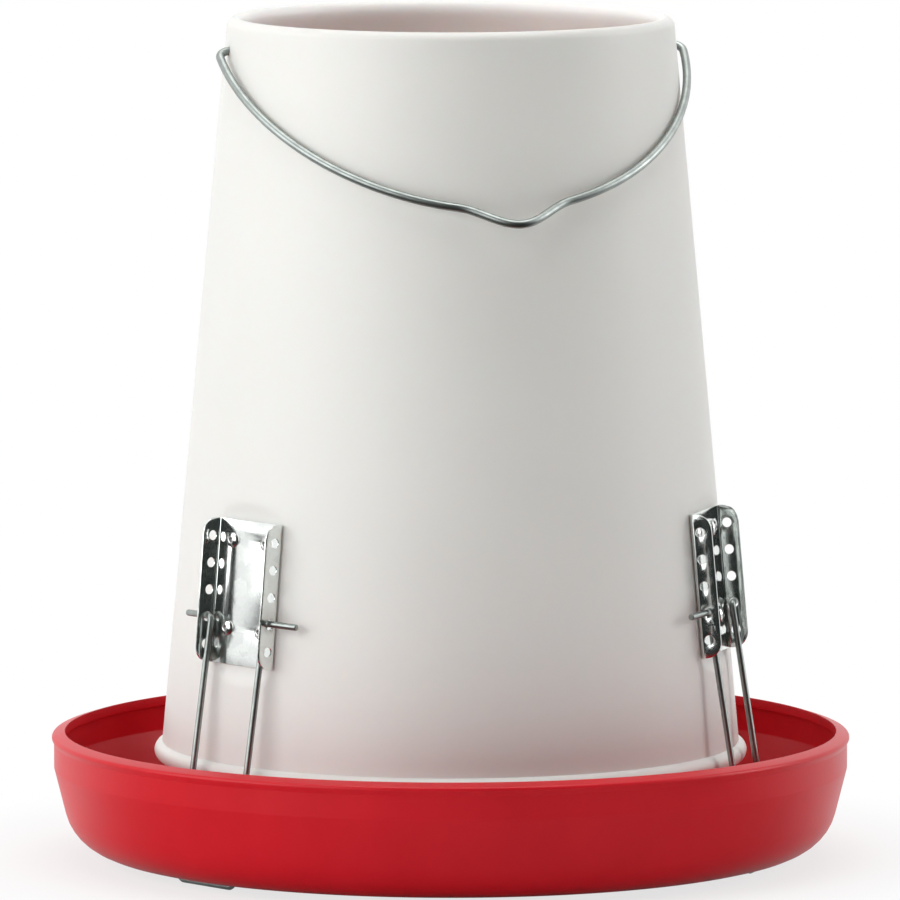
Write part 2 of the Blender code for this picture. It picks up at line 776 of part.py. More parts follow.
def make_bail(parts, material):
    curve = wire_curve("bail", bail_path(), BAIL_WIRE)
    curve.materials.append(material)
    hinge = (0, 0, bail_hinge_z())
    return new_object("bail", curve, parts, None, hinge, (bail_rest_angle(), 0, 0))


def main():
    clear_scene()
    parts = new_collection("poultry_feeder")
    cutters = new_collection("cutters")
    red = new_material("red_plastic", *RED_PLASTIC)
    white = new_material("white_plastic", *WHITE_PLASTIC)
    sheet = new_material("galvanised_sheet", *GALVANISED_SHEET)
    wire = new_material("galvanised_wire", *GALVANISED_WIRE)
    rivet_metal = new_material("rivet_metal", *RIVET_METAL)
    on_hopper = bracket_frames(parts)
    on_pan = hoop_frames(parts)
    bpy.context.view_layer.update()
    make_pan(parts, cutters, red, on_pan)
    make_hopper(parts, cutters, white, on_hopper)
    make_brackets(parts, cutters, on_hopper, sheet, rivet_metal)
    make_hoops(parts, on_pan, wire)
    make_bail(parts, wire)
    bpy.context.view_layer.update()
    print(f"bail rests {math.degrees(bail_rest_angle()):.2f} degrees below level")
    print("hoops end at radius and height", *(f"{v * 1000:.2f} mm" for v in hoop_top()))
    print(f"hoops stand at radius {hoop_foot_radius() * 1000:.2f} mm")
    print(f"hoops lean {math.degrees(hoop_lean()):.2f} degrees")


main()
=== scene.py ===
"""Poultry feeder: the finished look of each piece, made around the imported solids. All in metres."""
import math

import bmesh
import bpy
import numpy as np
from bpy.props import FloatProperty, FloatVectorProperty, PointerProperty
from bpy.types import Operator, Panel, PropertyGroup
from mathutils import Euler, Matrix, Vector
from mathutils.geometry import delaunay_2d_cdt


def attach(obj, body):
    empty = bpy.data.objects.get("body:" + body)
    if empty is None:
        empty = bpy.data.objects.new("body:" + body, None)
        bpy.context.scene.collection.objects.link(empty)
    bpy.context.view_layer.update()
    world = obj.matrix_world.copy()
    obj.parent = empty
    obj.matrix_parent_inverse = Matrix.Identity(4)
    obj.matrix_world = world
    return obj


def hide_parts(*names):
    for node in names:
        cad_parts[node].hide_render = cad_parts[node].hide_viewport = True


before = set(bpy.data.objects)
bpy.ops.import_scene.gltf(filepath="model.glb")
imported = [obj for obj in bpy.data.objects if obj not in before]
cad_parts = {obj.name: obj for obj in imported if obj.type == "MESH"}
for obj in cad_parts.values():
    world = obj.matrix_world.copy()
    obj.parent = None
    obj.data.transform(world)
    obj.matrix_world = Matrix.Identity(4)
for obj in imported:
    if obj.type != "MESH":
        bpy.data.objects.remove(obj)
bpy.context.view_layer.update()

bl_info = {
    "name": "Poultry Feeder",
    "version": (1, 0, 0),
    "blender": (4, 5, 0),
    "location": "3D View > Sidebar > Feeder",
    "description": "Makes a hanging poultry feeder: pan, hopper, brackets, spring hoops and bail",
    "category": "Add Mesh",
}

# Meshes
WELD = 1e-6
SHARP = math.radians(35)
ARC_POINTS = 9
GAP = 0.0003
SMALL_TURN = 0.0006
UPRIGHT = math.pi / 2
MILLIMETRES = 1000
FILL_TOLERANCE = 1e-7

# Pan
PAN_COLUMNS = 240
RIM_OVERHANG = 0.0011
RIM_ROUND = 0.0018
RIM_START = math.radians(75)
RIM_END = math.radians(-35)
RIM_DROP = 0.0034
RIM_DEPTH = 0.0062
LIP_WIDTH = 0.0066
LIP_HEIGHT = 0.0052
SHOULDER = 0.0457
PAN_TAPER = math.radians(14.2)
PAN_CORNER = 0.0255
LIP_TURN = 0.0003
INNER_SHOULDER_TURN = 0.005
OUTER_SHOULDER_TURN = 0.006
FOOT_CLEARANCE = 0.0003
FOOT_RADIUS = 0.125
FOOT_WIDTH = 0.009
FOOT_DRAFT = 0.0006
FOOT_TURN = 0.0008
CONE_SLOPE = math.radians(28)
CONE_TIP = 0.012
CONE_TURN = 0.008
HOLLOW_TURN = 0.006
LEG_DRILL = (-0.004, 0.012)

# Hopper
RIM_BEAD = 0.00465
RIM_WIDTH = 0.0078
RIM_FILLET = 0.02
FILLET_POINTS = 9
FOOT_BEAD = 0.00475
FOOT_RELIEF = 0.0035
FOOT_POINTS = 15
HOPPER_COLUMNS = 264
LEVEL_GAP = 0.002
LOWER_LEVELS = 8
SEAT_LEVELS = 9
UPPER_LEVELS = 26
SEAT_MARGIN = 0.0005
SEAT_RAMP = 0.012
SEAT_BLEND = 0.0005
SEAT_PROUD = 0.0006
SEAT_INSET = 0.006
SEAT_COSINE = 0.9
SEAT_EDGE_DEGREES = 1.6
SEAT_EDGE_COLUMNS = 9
COLUMN_GAP = math.radians(0.1)
PIN_CLEARANCE = 0.0004
PIN_DRILL = 0.2
RIVET_CLEARANCE = 0.00015
RIVET_DRILL = (-0.004, 0.006)

# Brackets
AZIMUTHS = {"left": math.radians(-60), "right": math.radians(60), "rear": math.radians(180)}
SHEET_BEND = 0.0018
SHEET_EDGE = 0.00018
BEND_STEPS = 8
EDGE_STEPS = 3
HOLE_COUNT = 5
HOLE_CLEARANCE = 0.0008
HOLE_FROM_END = 0.009
HOLE_FROM_PLATE = 0.0041
HOLE_IN_USE = 3
HOLE_POINTS = 24

# Rivets
RIVET_SHANK = 0.002
RIVET_HEAD = 0.0038
RIVET_HEIGHT = 0.0012
RIVET_BORE = 0.0011
RIVET_BULB = 0.003
RIVET_BULB_LENGTH = 0.0036
RIVET_FROM_SIDE = 0.01125
RIVET_FROM_TOP = 0.0104
RIVET_FROM_BOTTOM = 0.0178
RIVET_COLUMNS = 32
RIVET_PIN = [(0, 0.0005), (0.0006, 0.00045), (0.0008, 0.0001), (RIVET_BORE, 0.0001)]
RIVET_BORE_EDGE = 0.00005
RIVET_CROWN = 0.0002
RIVET_DOME = (0.0004, 0.0006)
RIVET_BULB_RUN = (0.0006, 0.0018)
RIVET_HEAD_TURNS = [0.0001, 0.00005, 0.00005, 0.00018, 0.0006, 0.0008, 0.00012]
RIVET_SHANK_TURNS = [0, 0, 0.0003, 0.0006, 0.0005]

# Hoops
LEG_CLEARANCE = 0.00344
SIDE_CLEARANCE = 0.00115
FOOT_BEND = 0.0032
TOP_BEND = 0.0025
END_BEND = 0.005
END_RUN = 0.003
END_SWEEP = math.radians(12)
LEG_HOLE_CLEARANCE = 0.0011

# Bail
HINGE_DROP = 0.0156
STAND_OFF = 0.0032
BOW_POWER = 1.92
ELBOW = 0.006
HOOK_BEND = 0.0035
HOOK_LENGTH = 0.011
HOOK_CLEARANCE = 0.002
NOTCH_HALF_WIDTH = 0.029
NOTCH_OFFSET = 0.0065
BOW_POINTS = 241
REST_STEPS = 2001

# Wire
WIRE_COLUMNS = 20
WIRE_STEP = 0.004
WIRE_CHAMFER = 0.0003

# Finishes. A noise has a scale, a detail and a roughness; a bump has a strength and a depth. Tones
# and roughnesses go from their third value to their fourth as the noise goes from the first to the
# second; a tone multiplies the colour.
WHITE = (1, 1, 1, 1)
RED_FLOW = (14, 3, 0.55)
RED_GRAIN = (1500, 2, 0.6)
RED_TONE = (0.3, 0.7, 0.93, 1.06)
RED_ROUGHNESS = (0.3, 0.7, 0.30, 0.38)
PLASTIC_BUMP = (0.10, 0.0003)
WHITE_CLOUD = (9, 3, 0.5)
WHITE_GRAIN = (1300, 2, 0.6)
WHITE_TONE = (0.3, 0.7, 0.985, 1.012)
WHITE_ROUGHNESS = (0.3, 0.7, 0.40, 0.50)
# Painted light: the hopper's inner side is painted this lighter white, for the light that its wall
# lets in.
INSIDE_PAINTED_LIGHT = (0.98, 0.96, 0.93, 1)
INSIDE_FACING = (-0.8, 0.1, 1, 0)
SPANGLE_SCALE = 190
SPANGLE_WARP = (260, 2, 0.5)
SPANGLE_SHIFT = (0.0035,) * 3
SPANGLE_TILT = (0.02,) * 3
SPANGLE_TONE = (0, 1, 0.95, 1.05)
SPANGLE_ROUGHNESS = (0, 1, 0.09, 0.14)
SMEAR = (1400, 3, 0.65)
SMEAR_SHADE = 0.82
SMEAR_SHARE = (0.45, 0.75, 0, 0.4)
SMEAR_ROUGHNESS = (0.4, 0.8, 0, 0.10)
SMEAR_BUMP = (0.08, 0.0001)
WIRE_PATCHES = (160, 4, 0.6)
WIRE_LUMPS = (620, 3, 0.6)
WIRE_TONE = (0.35, 0.65, 0.9, 1.1)
WIRE_ROUGHNESS = (0.3, 0.7, 0.44, 0.36)
WIRE_BUMP = (0.08, 0.0002)
RIVET_MARKS = (1500, 3, 0.6)
RIVET_TONE = (0.35, 0.7, 1.05, 0.8)
RIVET_ROUGHNESS = (0.3, 0.7, 0.14, 0.26)
RIVET_BUMP = (0.06, 0.0001)

# Stage. One side of the room is dark, where no light stands. The dark starts and is full at these
# distances towards that side: in metres on the floor, and as cosines in the room.
DARK_SIDE = (-0.2, -0.97, 0.1)
DARK_ROOM = (0.02, 0.024, 0.023, 1)
DARK_IN_ROOM = (0.1, 0.6)
DARK_ON_FLOOR = (-0.12, 0.2)
BACKDROP_GLOW = 1.2
BACKDROP_EDGE = (-0.8, -0.4)
FLOOR_RADII = (0, 0.3, 1.2, 4, 14)
FLOOR_COLUMNS = 48
FLOOR_Z = -0.0002
FLOOR_GREY = (0.84, 0.84, 0.84, 1)
FLOOR_FADE = (0.19, 0.32, 0.74, 1.0)
# Each light's azimuth in degrees, its height, its distance, and its own width and height.
LIGHTS = {
    "key": (-73, 1.1, 2.6, (3.2, 2.0)),
    "side": (86, 1.3, 3.0, (1.2, 1.8)),
    "top": (0, 2.6, 0, (2.0, 2.0)),
}
LIGHT_AIM = Vector((0, 0, 0.2))
CAMERA_PLACE = (-1.2139, -5.7111, 0.8565)
CAMERA_TURN = (math.radians(83.63), 0, math.radians(-12))
CAMERA_LENS = 469.6
CAMERA_SENSOR = 36
CAMERA_SHIFT = -0.0007
CAMERA_RANGE = (0.1, 100)


def size(name, description, default, unit="LENGTH"):
    return FloatProperty(name=name, description=description, default=default, unit=unit, precision=4)


def colour(name, description, default):
    return FloatVectorProperty(
        name=name, description=description, default=default, subtype="COLOR", min=0, max=1
    )


def power(name, description, default):
    return FloatProperty(name=name, description=description, default=default, unit="POWER")


class PanSettings(PropertyGroup):
    radius: size("Radius", "Outer radius of the pan's rim", 0.2)
    height: size("Height", "Height of the pan's rim above the ground", 0.064)
    wall: size("Wall", "Thickness of the moulding", 0.0028)
    cone_rise: size("Cone rise", "Height of the feed cone above the pan's floor", 0.044)
    red: colour("Colour", "Colour of the pan's plastic", (0.615, 0.0068, 0.016))


class HopperSettings(PropertyGroup):
    top: size("Top", "Height of the hopper's rim above the ground", 0.4222)
    bottom: size("Bottom", "Height of the hopper's foot above the ground", 0.0495)
    feed_width: size("Feed width", "Width of the trough, from the hopper's foot to the rim", 0.05455)
    taper: size("Taper", "Angle of the wall from upright", math.radians(5.24), "ROTATION")
    wall: size("Wall", "Thickness of the moulding", 0.0025)
    white: colour("Colour", "Colour of the hopper's plastic", (0.80, 0.80, 0.77))


class BracketSettings(PropertyGroup):
    top: size("Top", "Height of the brackets' top edge, measured on the hopper's wall", 0.1794)
    width: size("Width", "Width over the flanges", 0.0475)
    height: size("Height", "Length of the bracket", 0.0718)
    sheet: size("Sheet", "Thickness of the sheet", 0.001)
    flange: size("Flange", "Depth of the flanges in front of the plate", 0.0102)
    corner: size("Corner", "Radius of the flanges' outer corners", 0.008)
    zinc: colour("Sheet colour", "Colour of the bright galvanised sheet", (0.86, 0.89, 0.87))
    rivet: colour("Rivet colour", "Colour of the rivets", (0.74, 0.74, 0.73))


class WireSettings(PropertyGroup):
    hoop: size("Hoop wire", "Radius of the spring hoops' wire", 0.0016)
    end_reach: size("End reach", "How far a hoop's end stands out past the bracket", 0.017)
    bail: size("Bail wire", "Radius of the bail's wire", 0.0021)
    bow_depth: size("Bow depth", "Depth of the bail's bow below its hinge", 0.1435)
    notch_depth: size("Notch depth", "Depth of the notch that holds a hook", 0.0125)
    zinc: colour("Wire colour", "Colour of the galvanised wire", (0.335, 0.365, 0.35))


class StageSettings(PropertyGroup):
    key: power("Key light", "Power of the left light", 56)
    side: power("Side light", "Power of the right light", 31)
    top: power("Top light", "Power of the light overhead", 34)
    fill: FloatProperty(name="Fill", description="Strength of the light from all round", default=0.17)


class FeederSettings(PropertyGroup):
    pan: PointerProperty(type=PanSettings)
    hopper: PointerProperty(type=HopperSettings)
    bracket: PointerProperty(type=BracketSettings)
    wire: PointerProperty(type=WireSettings)
    stage: PointerProperty(type=StageSettings)


def unit(vectors):
    """Vectors made one long."""
    return vectors / np.linalg.norm(vectors, axis=-1, keepdims=True)


def arc(centre, radius, start, end, count):
    """Points centre + radius·(cos a, sin a), for evenly spaced angles a from start to end."""
    angle = np.linspace(start, end, count)
    return np.asarray(centre) + radius * np.stack([np.cos(angle), np.sin(angle)], axis=-1)


def rounded(corners, radii):
    """A path through corners, each turned on a circle that touches both of its runs.

    The circle's centre is the corner plus the unit bisector of the runs times radius / sin(half the
    angle between them). From the first touching point it turns by 180 degrees less that angle.
    """
    corners = np.asarray(corners, float)
    radii = np.asarray(radii, float)[:, None]
    back = unit(corners[:-2] - corners[1:-1])
    ahead = unit(corners[2:] - corners[1:-1])
    along = (back * ahead).sum(-1, keepdims=True)
    half = np.arccos(along) / 2
    centre = corners[1:-1] + unit(back + ahead) * radii / np.sin(half)
    outward = unit(back * along - ahead)[:, None]
    turn = (np.linspace(0, 1, ARC_POINTS) * (math.pi - 2 * half))[..., None]
    arcs = centre[:, None] + radii[:, None] * (np.cos(turn) * outward - np.sin(turn) * back[:, None])
    return np.concatenate([corners[:1], arcs.reshape(-1, corners.shape[1]), corners[-1:]])


def subdivided(path, step):
    """The same path, each run cut into equal parts no longer than step."""
    run = np.diff(path, axis=0)
    parts = np.maximum(1, np.ceil(np.linalg.norm(run, axis=1) / step)).astype(int)
    first = np.repeat(np.cumsum(parts) - parts, parts)
    share = (np.arange(parts.sum()) - first) / np.repeat(parts, parts)
    inner = np.repeat(path[:-1], parts, axis=0) + share[:, None] * np.repeat(run, parts, axis=0)
    return np.concatenate([inner, path[-1:]])


def grid_faces(rows, columns, close_rows=False, close_columns=True):
    """The quads between neighbours on a grid of points, numbered row by row."""
    r = np.arange(rows if close_rows else rows - 1)[:, None]
    c = np.arange(columns if close_columns else columns - 1)[None]
    r_next = (r + 1) % rows * columns
    c_next = (c + 1) % columns
    r = r * columns
    return np.stack([r + c, r + c_next, r_next + c_next, r_next + c], axis=-1).reshape(-1, 4)


def turned(profile, angles):
    """A profile of (r, z) points turned round Z: x = r·sin a, y = -r·cos a, at each angle a."""
    r = profile[:, None, 0]
    z = np.broadcast_to(profile[:, None, 1], (len(profile), len(angles)))
    return np.stack([r * np.sin(angles), -r * np.cos(angles), z], axis=-1)


def all_round(count):
    """Evenly spaced angles round a circle."""
    return np.arange(count) * 2 * math.pi / count


def tube(path, radius, side):
    """A wire along a path: at each point, radius·(cos a·n + sin a·b) is added to it.

    n is the side vector made square to the path, and b is the path's direction × n. Each end has
    a chamfer, and a last ring of no radius closes it.
    """
    path = subdivided(path, WIRE_STEP)
    along = unit(np.gradient(path, axis=0))
    chamfer = WIRE_CHAMFER * along
    centres = np.concatenate(
        [path[[0, 0]], path[:1] + chamfer[:1], path[1:-1], path[-1:] - chamfer[-1:], path[[-1, -1]]]
    )
    along = np.concatenate([along[[0, 0]], along, along[[-1, -1]]])
    radii = np.full(len(centres), radius)
    radii[[0, -1]] = 0
    radii[[1, -2]] = radius - WIRE_CHAMFER
    n = unit(side - (along @ side)[:, None] * along)
    b = np.cross(along, n)
    angle = all_round(WIRE_COLUMNS)[:, None]
    ring = np.cos(angle) * n[:, None] + np.sin(angle) * b[:, None]
    return centres[:, None] + radii[:, None, None] * ring


def placed(points, matrix):
    """Points turned and moved by a matrix."""
    return points @ np.array(matrix.to_3x3()).T + np.array(matrix.translation)


def closed_mesh(name, points, faces, smooth=True):
    """A mesh with its doubles merged and its faces turned outwards."""
    mesh = bpy.data.meshes.new(name)
    mesh.from_pydata(points.reshape(-1, 3), [], faces)
    mesh.polygons.foreach_set("use_smooth", np.broadcast_to(smooth, len(faces)).tolist())
    shape = bmesh.new()
    shape.from_mesh(mesh)
    bmesh.ops.remove_doubles(shape, verts=shape.verts, dist=WELD)
    bmesh.ops.recalc_face_normals(shape, faces=shape.faces)
    shape.to_mesh(mesh)
    shape.free()
    return mesh


def linked(name, data):
    """A new object in the scene."""
    made = bpy.data.objects.new(name, data)
    bpy.context.scene.collection.objects.link(made)
    return made


def new_piece(name, points, faces=None, smooth=True):
    """A piece from its points, which lie on a grid unless it gives its own faces."""
    if faces is None:
        faces = grid_faces(*points.shape[:2])
    return linked(name, closed_mesh(name, points, faces, smooth))


def drilled(piece, path_starts, path_ends, radius):
    """Cuts straight round holes through a piece, from each start to its end."""
    shape = bmesh.new()
    for start, end in zip(path_starts, path_ends):
        run = np.array([start, end], float)
        side = np.eye(3)[np.argmin(np.abs(run[1] - run[0]))]
        points = tube(run, radius, side)
        mesh = closed_mesh("bore", points, grid_faces(*points.shape[:2]))
        shape.from_mesh(mesh)
        bpy.data.meshes.remove(mesh)
    bores = bpy.data.meshes.new("bores")
    shape.to_mesh(bores)
    shape.free()
    cutter = linked("bores", bores)
    modifier = piece.modifiers.new("Holes", "BOOLEAN")
    modifier.operation = "DIFFERENCE"
    modifier.solver = "EXACT"
    modifier.object = cutter
    bpy.context.view_layer.update()
    evaluated = piece.evaluated_get(bpy.context.evaluated_depsgraph_get())
    cut = bpy.data.meshes.new_from_object(evaluated)
    piece.modifiers.clear()
    piece.data = cut
    bpy.data.objects.remove(cutter, do_unlink=True)


def hopper_radius(s, z):
    """Outer radius of the hopper's wall at a height."""
    return s.pan.radius - s.hopper.feed_width - (z - s.hopper.bottom) * math.tan(s.hopper.taper)


def seat_depth(s):
    """How far a bracket's flat lies under the round wall at the middle of its width."""
    radius = hopper_radius(s, s.bracket.top)
    return radius - math.sqrt(radius**2 - (s.bracket.width / 2 + SEAT_MARGIN) ** 2)


def radial(azimuth, radius, z):
    """A point by its angle round Z from the front, -Y, its radius and its height."""
    return Vector((math.sin(azimuth) * radius, -math.cos(azimuth) * radius, z))


def bracket_frame(s, azimuth):
    """Middle of a bracket's top edge on its flat: X along it, -Y out, Z up the wall."""
    taper = s.hopper.taper
    radius = hopper_radius(s, s.bracket.top) - seat_depth(s) * math.cos(taper)
    z = s.bracket.top - seat_depth(s) * math.sin(taper)
    return Matrix.LocRotScale(radial(azimuth, radius, z), Euler((-taper, 0, azimuth)), None)


def hole_down(s, index):
    """How far a flange hole lies below the bracket's top edge."""
    return HOLE_FROM_END + index * (s.bracket.height - 2 * HOLE_FROM_END) / (HOLE_COUNT - 1)


def hoop_top(s):
    """Radius and height of the hoops' ends, which bear on the tops of the flange holes in use."""
    down = hole_down(s, HOLE_IN_USE) - (HOLE_CLEARANCE - GAP)
    out = GAP + s.bracket.sheet + HOLE_FROM_PLATE - seat_depth(s)
    sine = math.sin(s.hopper.taper)
    cosine = math.cos(s.hopper.taper)
    radius = hopper_radius(s, s.bracket.top) + down * sine + out * cosine
    return radius, s.bracket.top - down * cosine + out * sine


def foot_height(s):
    """Height of the pan's underside, which clears the hoops' wire."""
    return FOOT_CLEARANCE + 2 * s.wire.hoop + GAP


def hoop_foot_z(s):
    return FOOT_CLEARANCE + s.wire.hoop


def hoop_half_spread(s):
    return s.bracket.width / 2 - s.bracket.sheet - SIDE_CLEARANCE - s.wire.hoop


def hoop_lean(s):
    """The legs' angle out from upright, which takes them past the hopper's foot bead."""
    radius, z = hoop_top(s)
    bead_z = s.hopper.bottom + FOOT_BEAD
    bead_edge = hopper_radius(s, bead_z) + FOOT_RELIEF
    return math.atan2(bead_edge + LEG_CLEARANCE + s.wire.hoop - radius, z - bead_z)


def hoop_frame(s, azimuth):
    """Middle of a hoop's crosspiece, where it turns in the pan: X along it, Z up the legs."""
    top_radius, top_z = hoop_top(s)
    lean = hoop_lean(s)
    radius = top_radius + (top_z - hoop_foot_z(s)) * math.tan(lean)
    place = radial(azimuth, radius, hoop_foot_z(s))
    return Matrix.LocRotScale(place, Euler((-lean, 0, azimuth)), None)


def bail_hinge_z(s):
    return s.hopper.top - HINGE_DROP


def bail_half_width(s):
    return hopper_radius(s, bail_hinge_z(s)) + STAND_OFF + s.wire.bail


def cone_tip(s, inset):
    """The rounded tip of the feed cone, or of the hollow under it when inset by the wall."""
    centre = foot_height(s) + s.pan.wall + s.pan.cone_rise - CONE_TIP
    tip = arc((0, centre), CONE_TIP - inset, UPRIGHT, UPRIGHT - CONE_SLOPE, ARC_POINTS)
    tip[0, 0] = 0
    return tip


def cone_foot(s, tip, z):
    """Where the cone's slope, carried on from its tip, meets a height."""
    r, top = tip[-1]
    return r + (top - z) / math.tan(CONE_SLOPE), z


def pan_corner(s, inset):
    """Where the lines of the pan's base and its tapered wall cross, drawn in by the wall or not."""
    z = foot_height(s) + PAN_CORNER
    reach = PAN_CORNER + (SHOULDER - z) * math.sin(PAN_TAPER)
    r = s.pan.radius - RIM_OVERHANG - reach / math.cos(PAN_TAPER)
    turn = PAN_CORNER - inset
    return r + turn * (1 - math.sin(PAN_TAPER)) / math.cos(PAN_TAPER), z - turn


def pan_profile(s):
    """The pan's section: from the cone's tip out to the rim, down the wall and under the cone."""
    pan = s.pan
    wall = pan.radius - RIM_OVERHANG
    inner_wall = wall - pan.wall
    lip = pan.radius - LIP_WIDTH
    lip_z = pan.height - LIP_HEIGHT
    base = foot_height(s)
    outer_foot = FOOT_RADIUS + FOOT_WIDTH / 2
    inner_foot = FOOT_RADIUS - FOOT_WIDTH / 2
    tip = cone_tip(s, 0)
    hollow = cone_tip(s, pan.wall)
    rim_centre = (pan.radius - RIM_ROUND, pan.height - RIM_DROP)
    rim = arc(rim_centre, RIM_ROUND, RIM_START, RIM_END, ARC_POINTS)
    inside = rounded(
        [
            tip[-1],
            cone_foot(s, tip, base + pan.wall),
            pan_corner(s, pan.wall),
            (inner_wall, SHOULDER + pan.wall * math.tan(PAN_TAPER / 2)),
            (inner_wall, lip_z),
            (lip, lip_z),
            (lip, pan.height),
            rim[0],
        ],
        [CONE_TURN, PAN_CORNER - pan.wall, INNER_SHOULDER_TURN, SMALL_TURN, SMALL_TURN, LIP_TURN],
    )
    outside = rounded(
        [
            rim[-1],
            (wall, pan.height - RIM_DEPTH),
            (wall, SHOULDER),
            pan_corner(s, 0),
            (outer_foot, base),
            (outer_foot - FOOT_DRAFT, 0),
            (inner_foot + FOOT_DRAFT, 0),
            (inner_foot, base),
            cone_foot(s, hollow, base),
            hollow[-1],
        ],
        [SMALL_TURN, OUTER_SHOULDER_TURN, PAN_CORNER, *[FOOT_TURN] * 4, HOLLOW_TURN],
    )
    return np.concatenate([tip[:-1], inside[:-1], rim, outside[1:], hollow[-2::-1]])


def hopper_loop(s):
    """The hopper's section as a closed loop of (r, z), and how deep in the wall each point lies.

    The depth is 0 on the outer wall and the wall's thickness on the inner one; on the foot bead and
    the rim it is not a number, because no flat reaches them. The wall thickens towards the rim by
    share²·(3 - 2·share), the rim's inner side is a quarter of an ellipse and its outer side a
    quarter of a circle.
    """
    hopper = s.hopper
    taper = hopper.taper
    bead_z = hopper.bottom + FOOT_BEAD
    outset = FOOT_BEAD - FOOT_RELIEF
    start = math.acos(outset * math.cos(taper) / FOOT_BEAD) + taper
    bead = arc((hopper_radius(s, bead_z) - outset, bead_z), FOOT_BEAD, start, -UPRIGHT, FOOT_POINTS)
    inner_foot = hopper_radius(s, hopper.bottom) - hopper.wall
    edge = rounded([bead[-1], (inner_foot, hopper.bottom), (inner_foot, bead_z)], [SMALL_TURN])[:-1]
    rim_z = hopper.top - RIM_BEAD
    centre = (hopper_radius(s, rim_z) - RIM_BEAD / math.cos(taper), rim_z)
    under_rim = np.linspace(hopper.top - RIM_FILLET, rim_z, FILLET_POINTS)
    share = np.linspace(0, 1, FILLET_POINTS)
    width = hopper.wall + (RIM_WIDTH - hopper.wall) * share**2 * (3 - 2 * share)
    fillet = np.stack([hopper_radius(s, under_rim) - width, under_rim], axis=-1)
    inner_turn = arc(centre, RIM_BEAD, math.pi, UPRIGHT, ARC_POINTS)
    squeeze = (centre[0] - fillet[-1, 0]) / RIM_BEAD
    inner_turn[:, 0] = centre[0] + (inner_turn[:, 0] - centre[0]) * squeeze
    outer_turn = arc(centre, RIM_BEAD, UPRIGHT, taper, ARC_POINTS)
    rim = np.concatenate([fillet[:-1], inner_turn[:-1], outer_turn])
    half = s.bracket.height / 2
    middle = s.bracket.top - half
    low = middle - half
    high = middle + half
    heights = np.concatenate(
        [
            np.linspace(edge[-1, 1] + LEVEL_GAP, low - SEAT_RAMP - LEVEL_GAP, LOWER_LEVELS),
            np.linspace(low - SEAT_RAMP, low, SEAT_LEVELS),
            np.linspace(low + SEAT_INSET, high - SEAT_INSET, SEAT_LEVELS),
            np.linspace(high, high + SEAT_RAMP, SEAT_LEVELS),
            np.linspace(high + SEAT_RAMP + 2 * LEVEL_GAP, under_rim[0] - LEVEL_GAP, UPPER_LEVELS),
        ]
    )
    radii = hopper_radius(s, heights)
    inner = np.stack([radii - hopper.wall, heights], axis=-1)
    above_bead = heights > bead[0, 1] + LEVEL_GAP
    outer = np.stack([radii, heights], axis=-1)[above_bead][::-1]
    runs = [(bead[:-1], np.nan), (edge, np.nan), (inner, hopper.wall), (rim, np.nan), (outer, 0.0)]
    loop = np.concatenate([run for run, _ in runs])
    return loop, np.concatenate([np.full(len(run), deep) for run, deep in runs])


def hopper_angles(s):
    """Columns round the hopper, with more of them where a flat runs out on the round wall."""
    edge = math.asin((s.bracket.width / 2 + SEAT_MARGIN) / hopper_radius(s, s.bracket.top))
    near = np.radians(np.linspace(-SEAT_EDGE_DEGREES, SEAT_EDGE_DEGREES, SEAT_EDGE_COLUMNS))
    dense = [azimuth + side * edge + near for azimuth in AZIMUTHS.values() for side in (-1, 1)]
    angles = np.sort(np.concatenate([all_round(HOPPER_COLUMNS), *dense]) % (2 * math.pi))
    return angles[np.diff(angles, prepend=-1) > COLUMN_GAP]


def hopper_points(s):
    """The hopper's wall as a function of the angle round it and of the place on its section.

    Behind each bracket the radius is the smaller of the round wall's and of a plane's, which is
    (R - (flat's depth + wall depth) / cos taper) / cos(angle from the bracket); the two are blended
    over SEAT_BLEND. Above and below the bracket the plane runs out over SEAT_RAMP.
    """
    loop, depth = hopper_loop(s)
    angles = hopper_angles(s)
    radius = np.repeat(loop[:, :1], len(angles), axis=1)
    cosine = math.cos(s.hopper.taper)
    middle = s.bracket.top - s.bracket.height / 2 * cosine
    beyond = np.abs(loop[:, 1] - middle) / cosine - s.bracket.height / 2 - SEAT_MARGIN
    share = np.clip(1 - beyond / SEAT_RAMP, 0, 1)
    share = share * share * (3 - 2 * share)
    flat = seat_depth(s) * share - SEAT_PROUD * (1 - share)
    plane = hopper_radius(s, loop[:, 1]) - (flat + depth) / cosine
    for azimuth in AZIMUTHS.values():
        across = np.cos(angles - azimuth)
        reach = np.where(across > SEAT_COSINE, plane[:, None] / np.maximum(across, SEAT_COSINE), 1)
        reach = np.where(np.isnan(reach), 1, reach)
        blend = np.maximum(SEAT_BLEND - np.abs(radius - reach), 0) / SEAT_BLEND
        radius = np.minimum(radius, reach) - blend**2 * SEAT_BLEND / 4
    z = np.broadcast_to(loop[:, 1:], radius.shape)
    return np.stack([radius * np.sin(angles), -radius * np.cos(angles), z], axis=-1)


def rivet_places(s):
    """Each rivet's name and its place in a bracket's frame."""
    across = s.bracket.width / 2 - RIVET_FROM_SIDE
    rows = {"upper": RIVET_FROM_TOP, "lower": s.bracket.height - RIVET_FROM_BOTTOM}
    return {
        f"{row}_{name}": Vector((side * across, 0, -down))
        for row, down in rows.items()
        for name, side in (("left", -1), ("right", 1))
    }


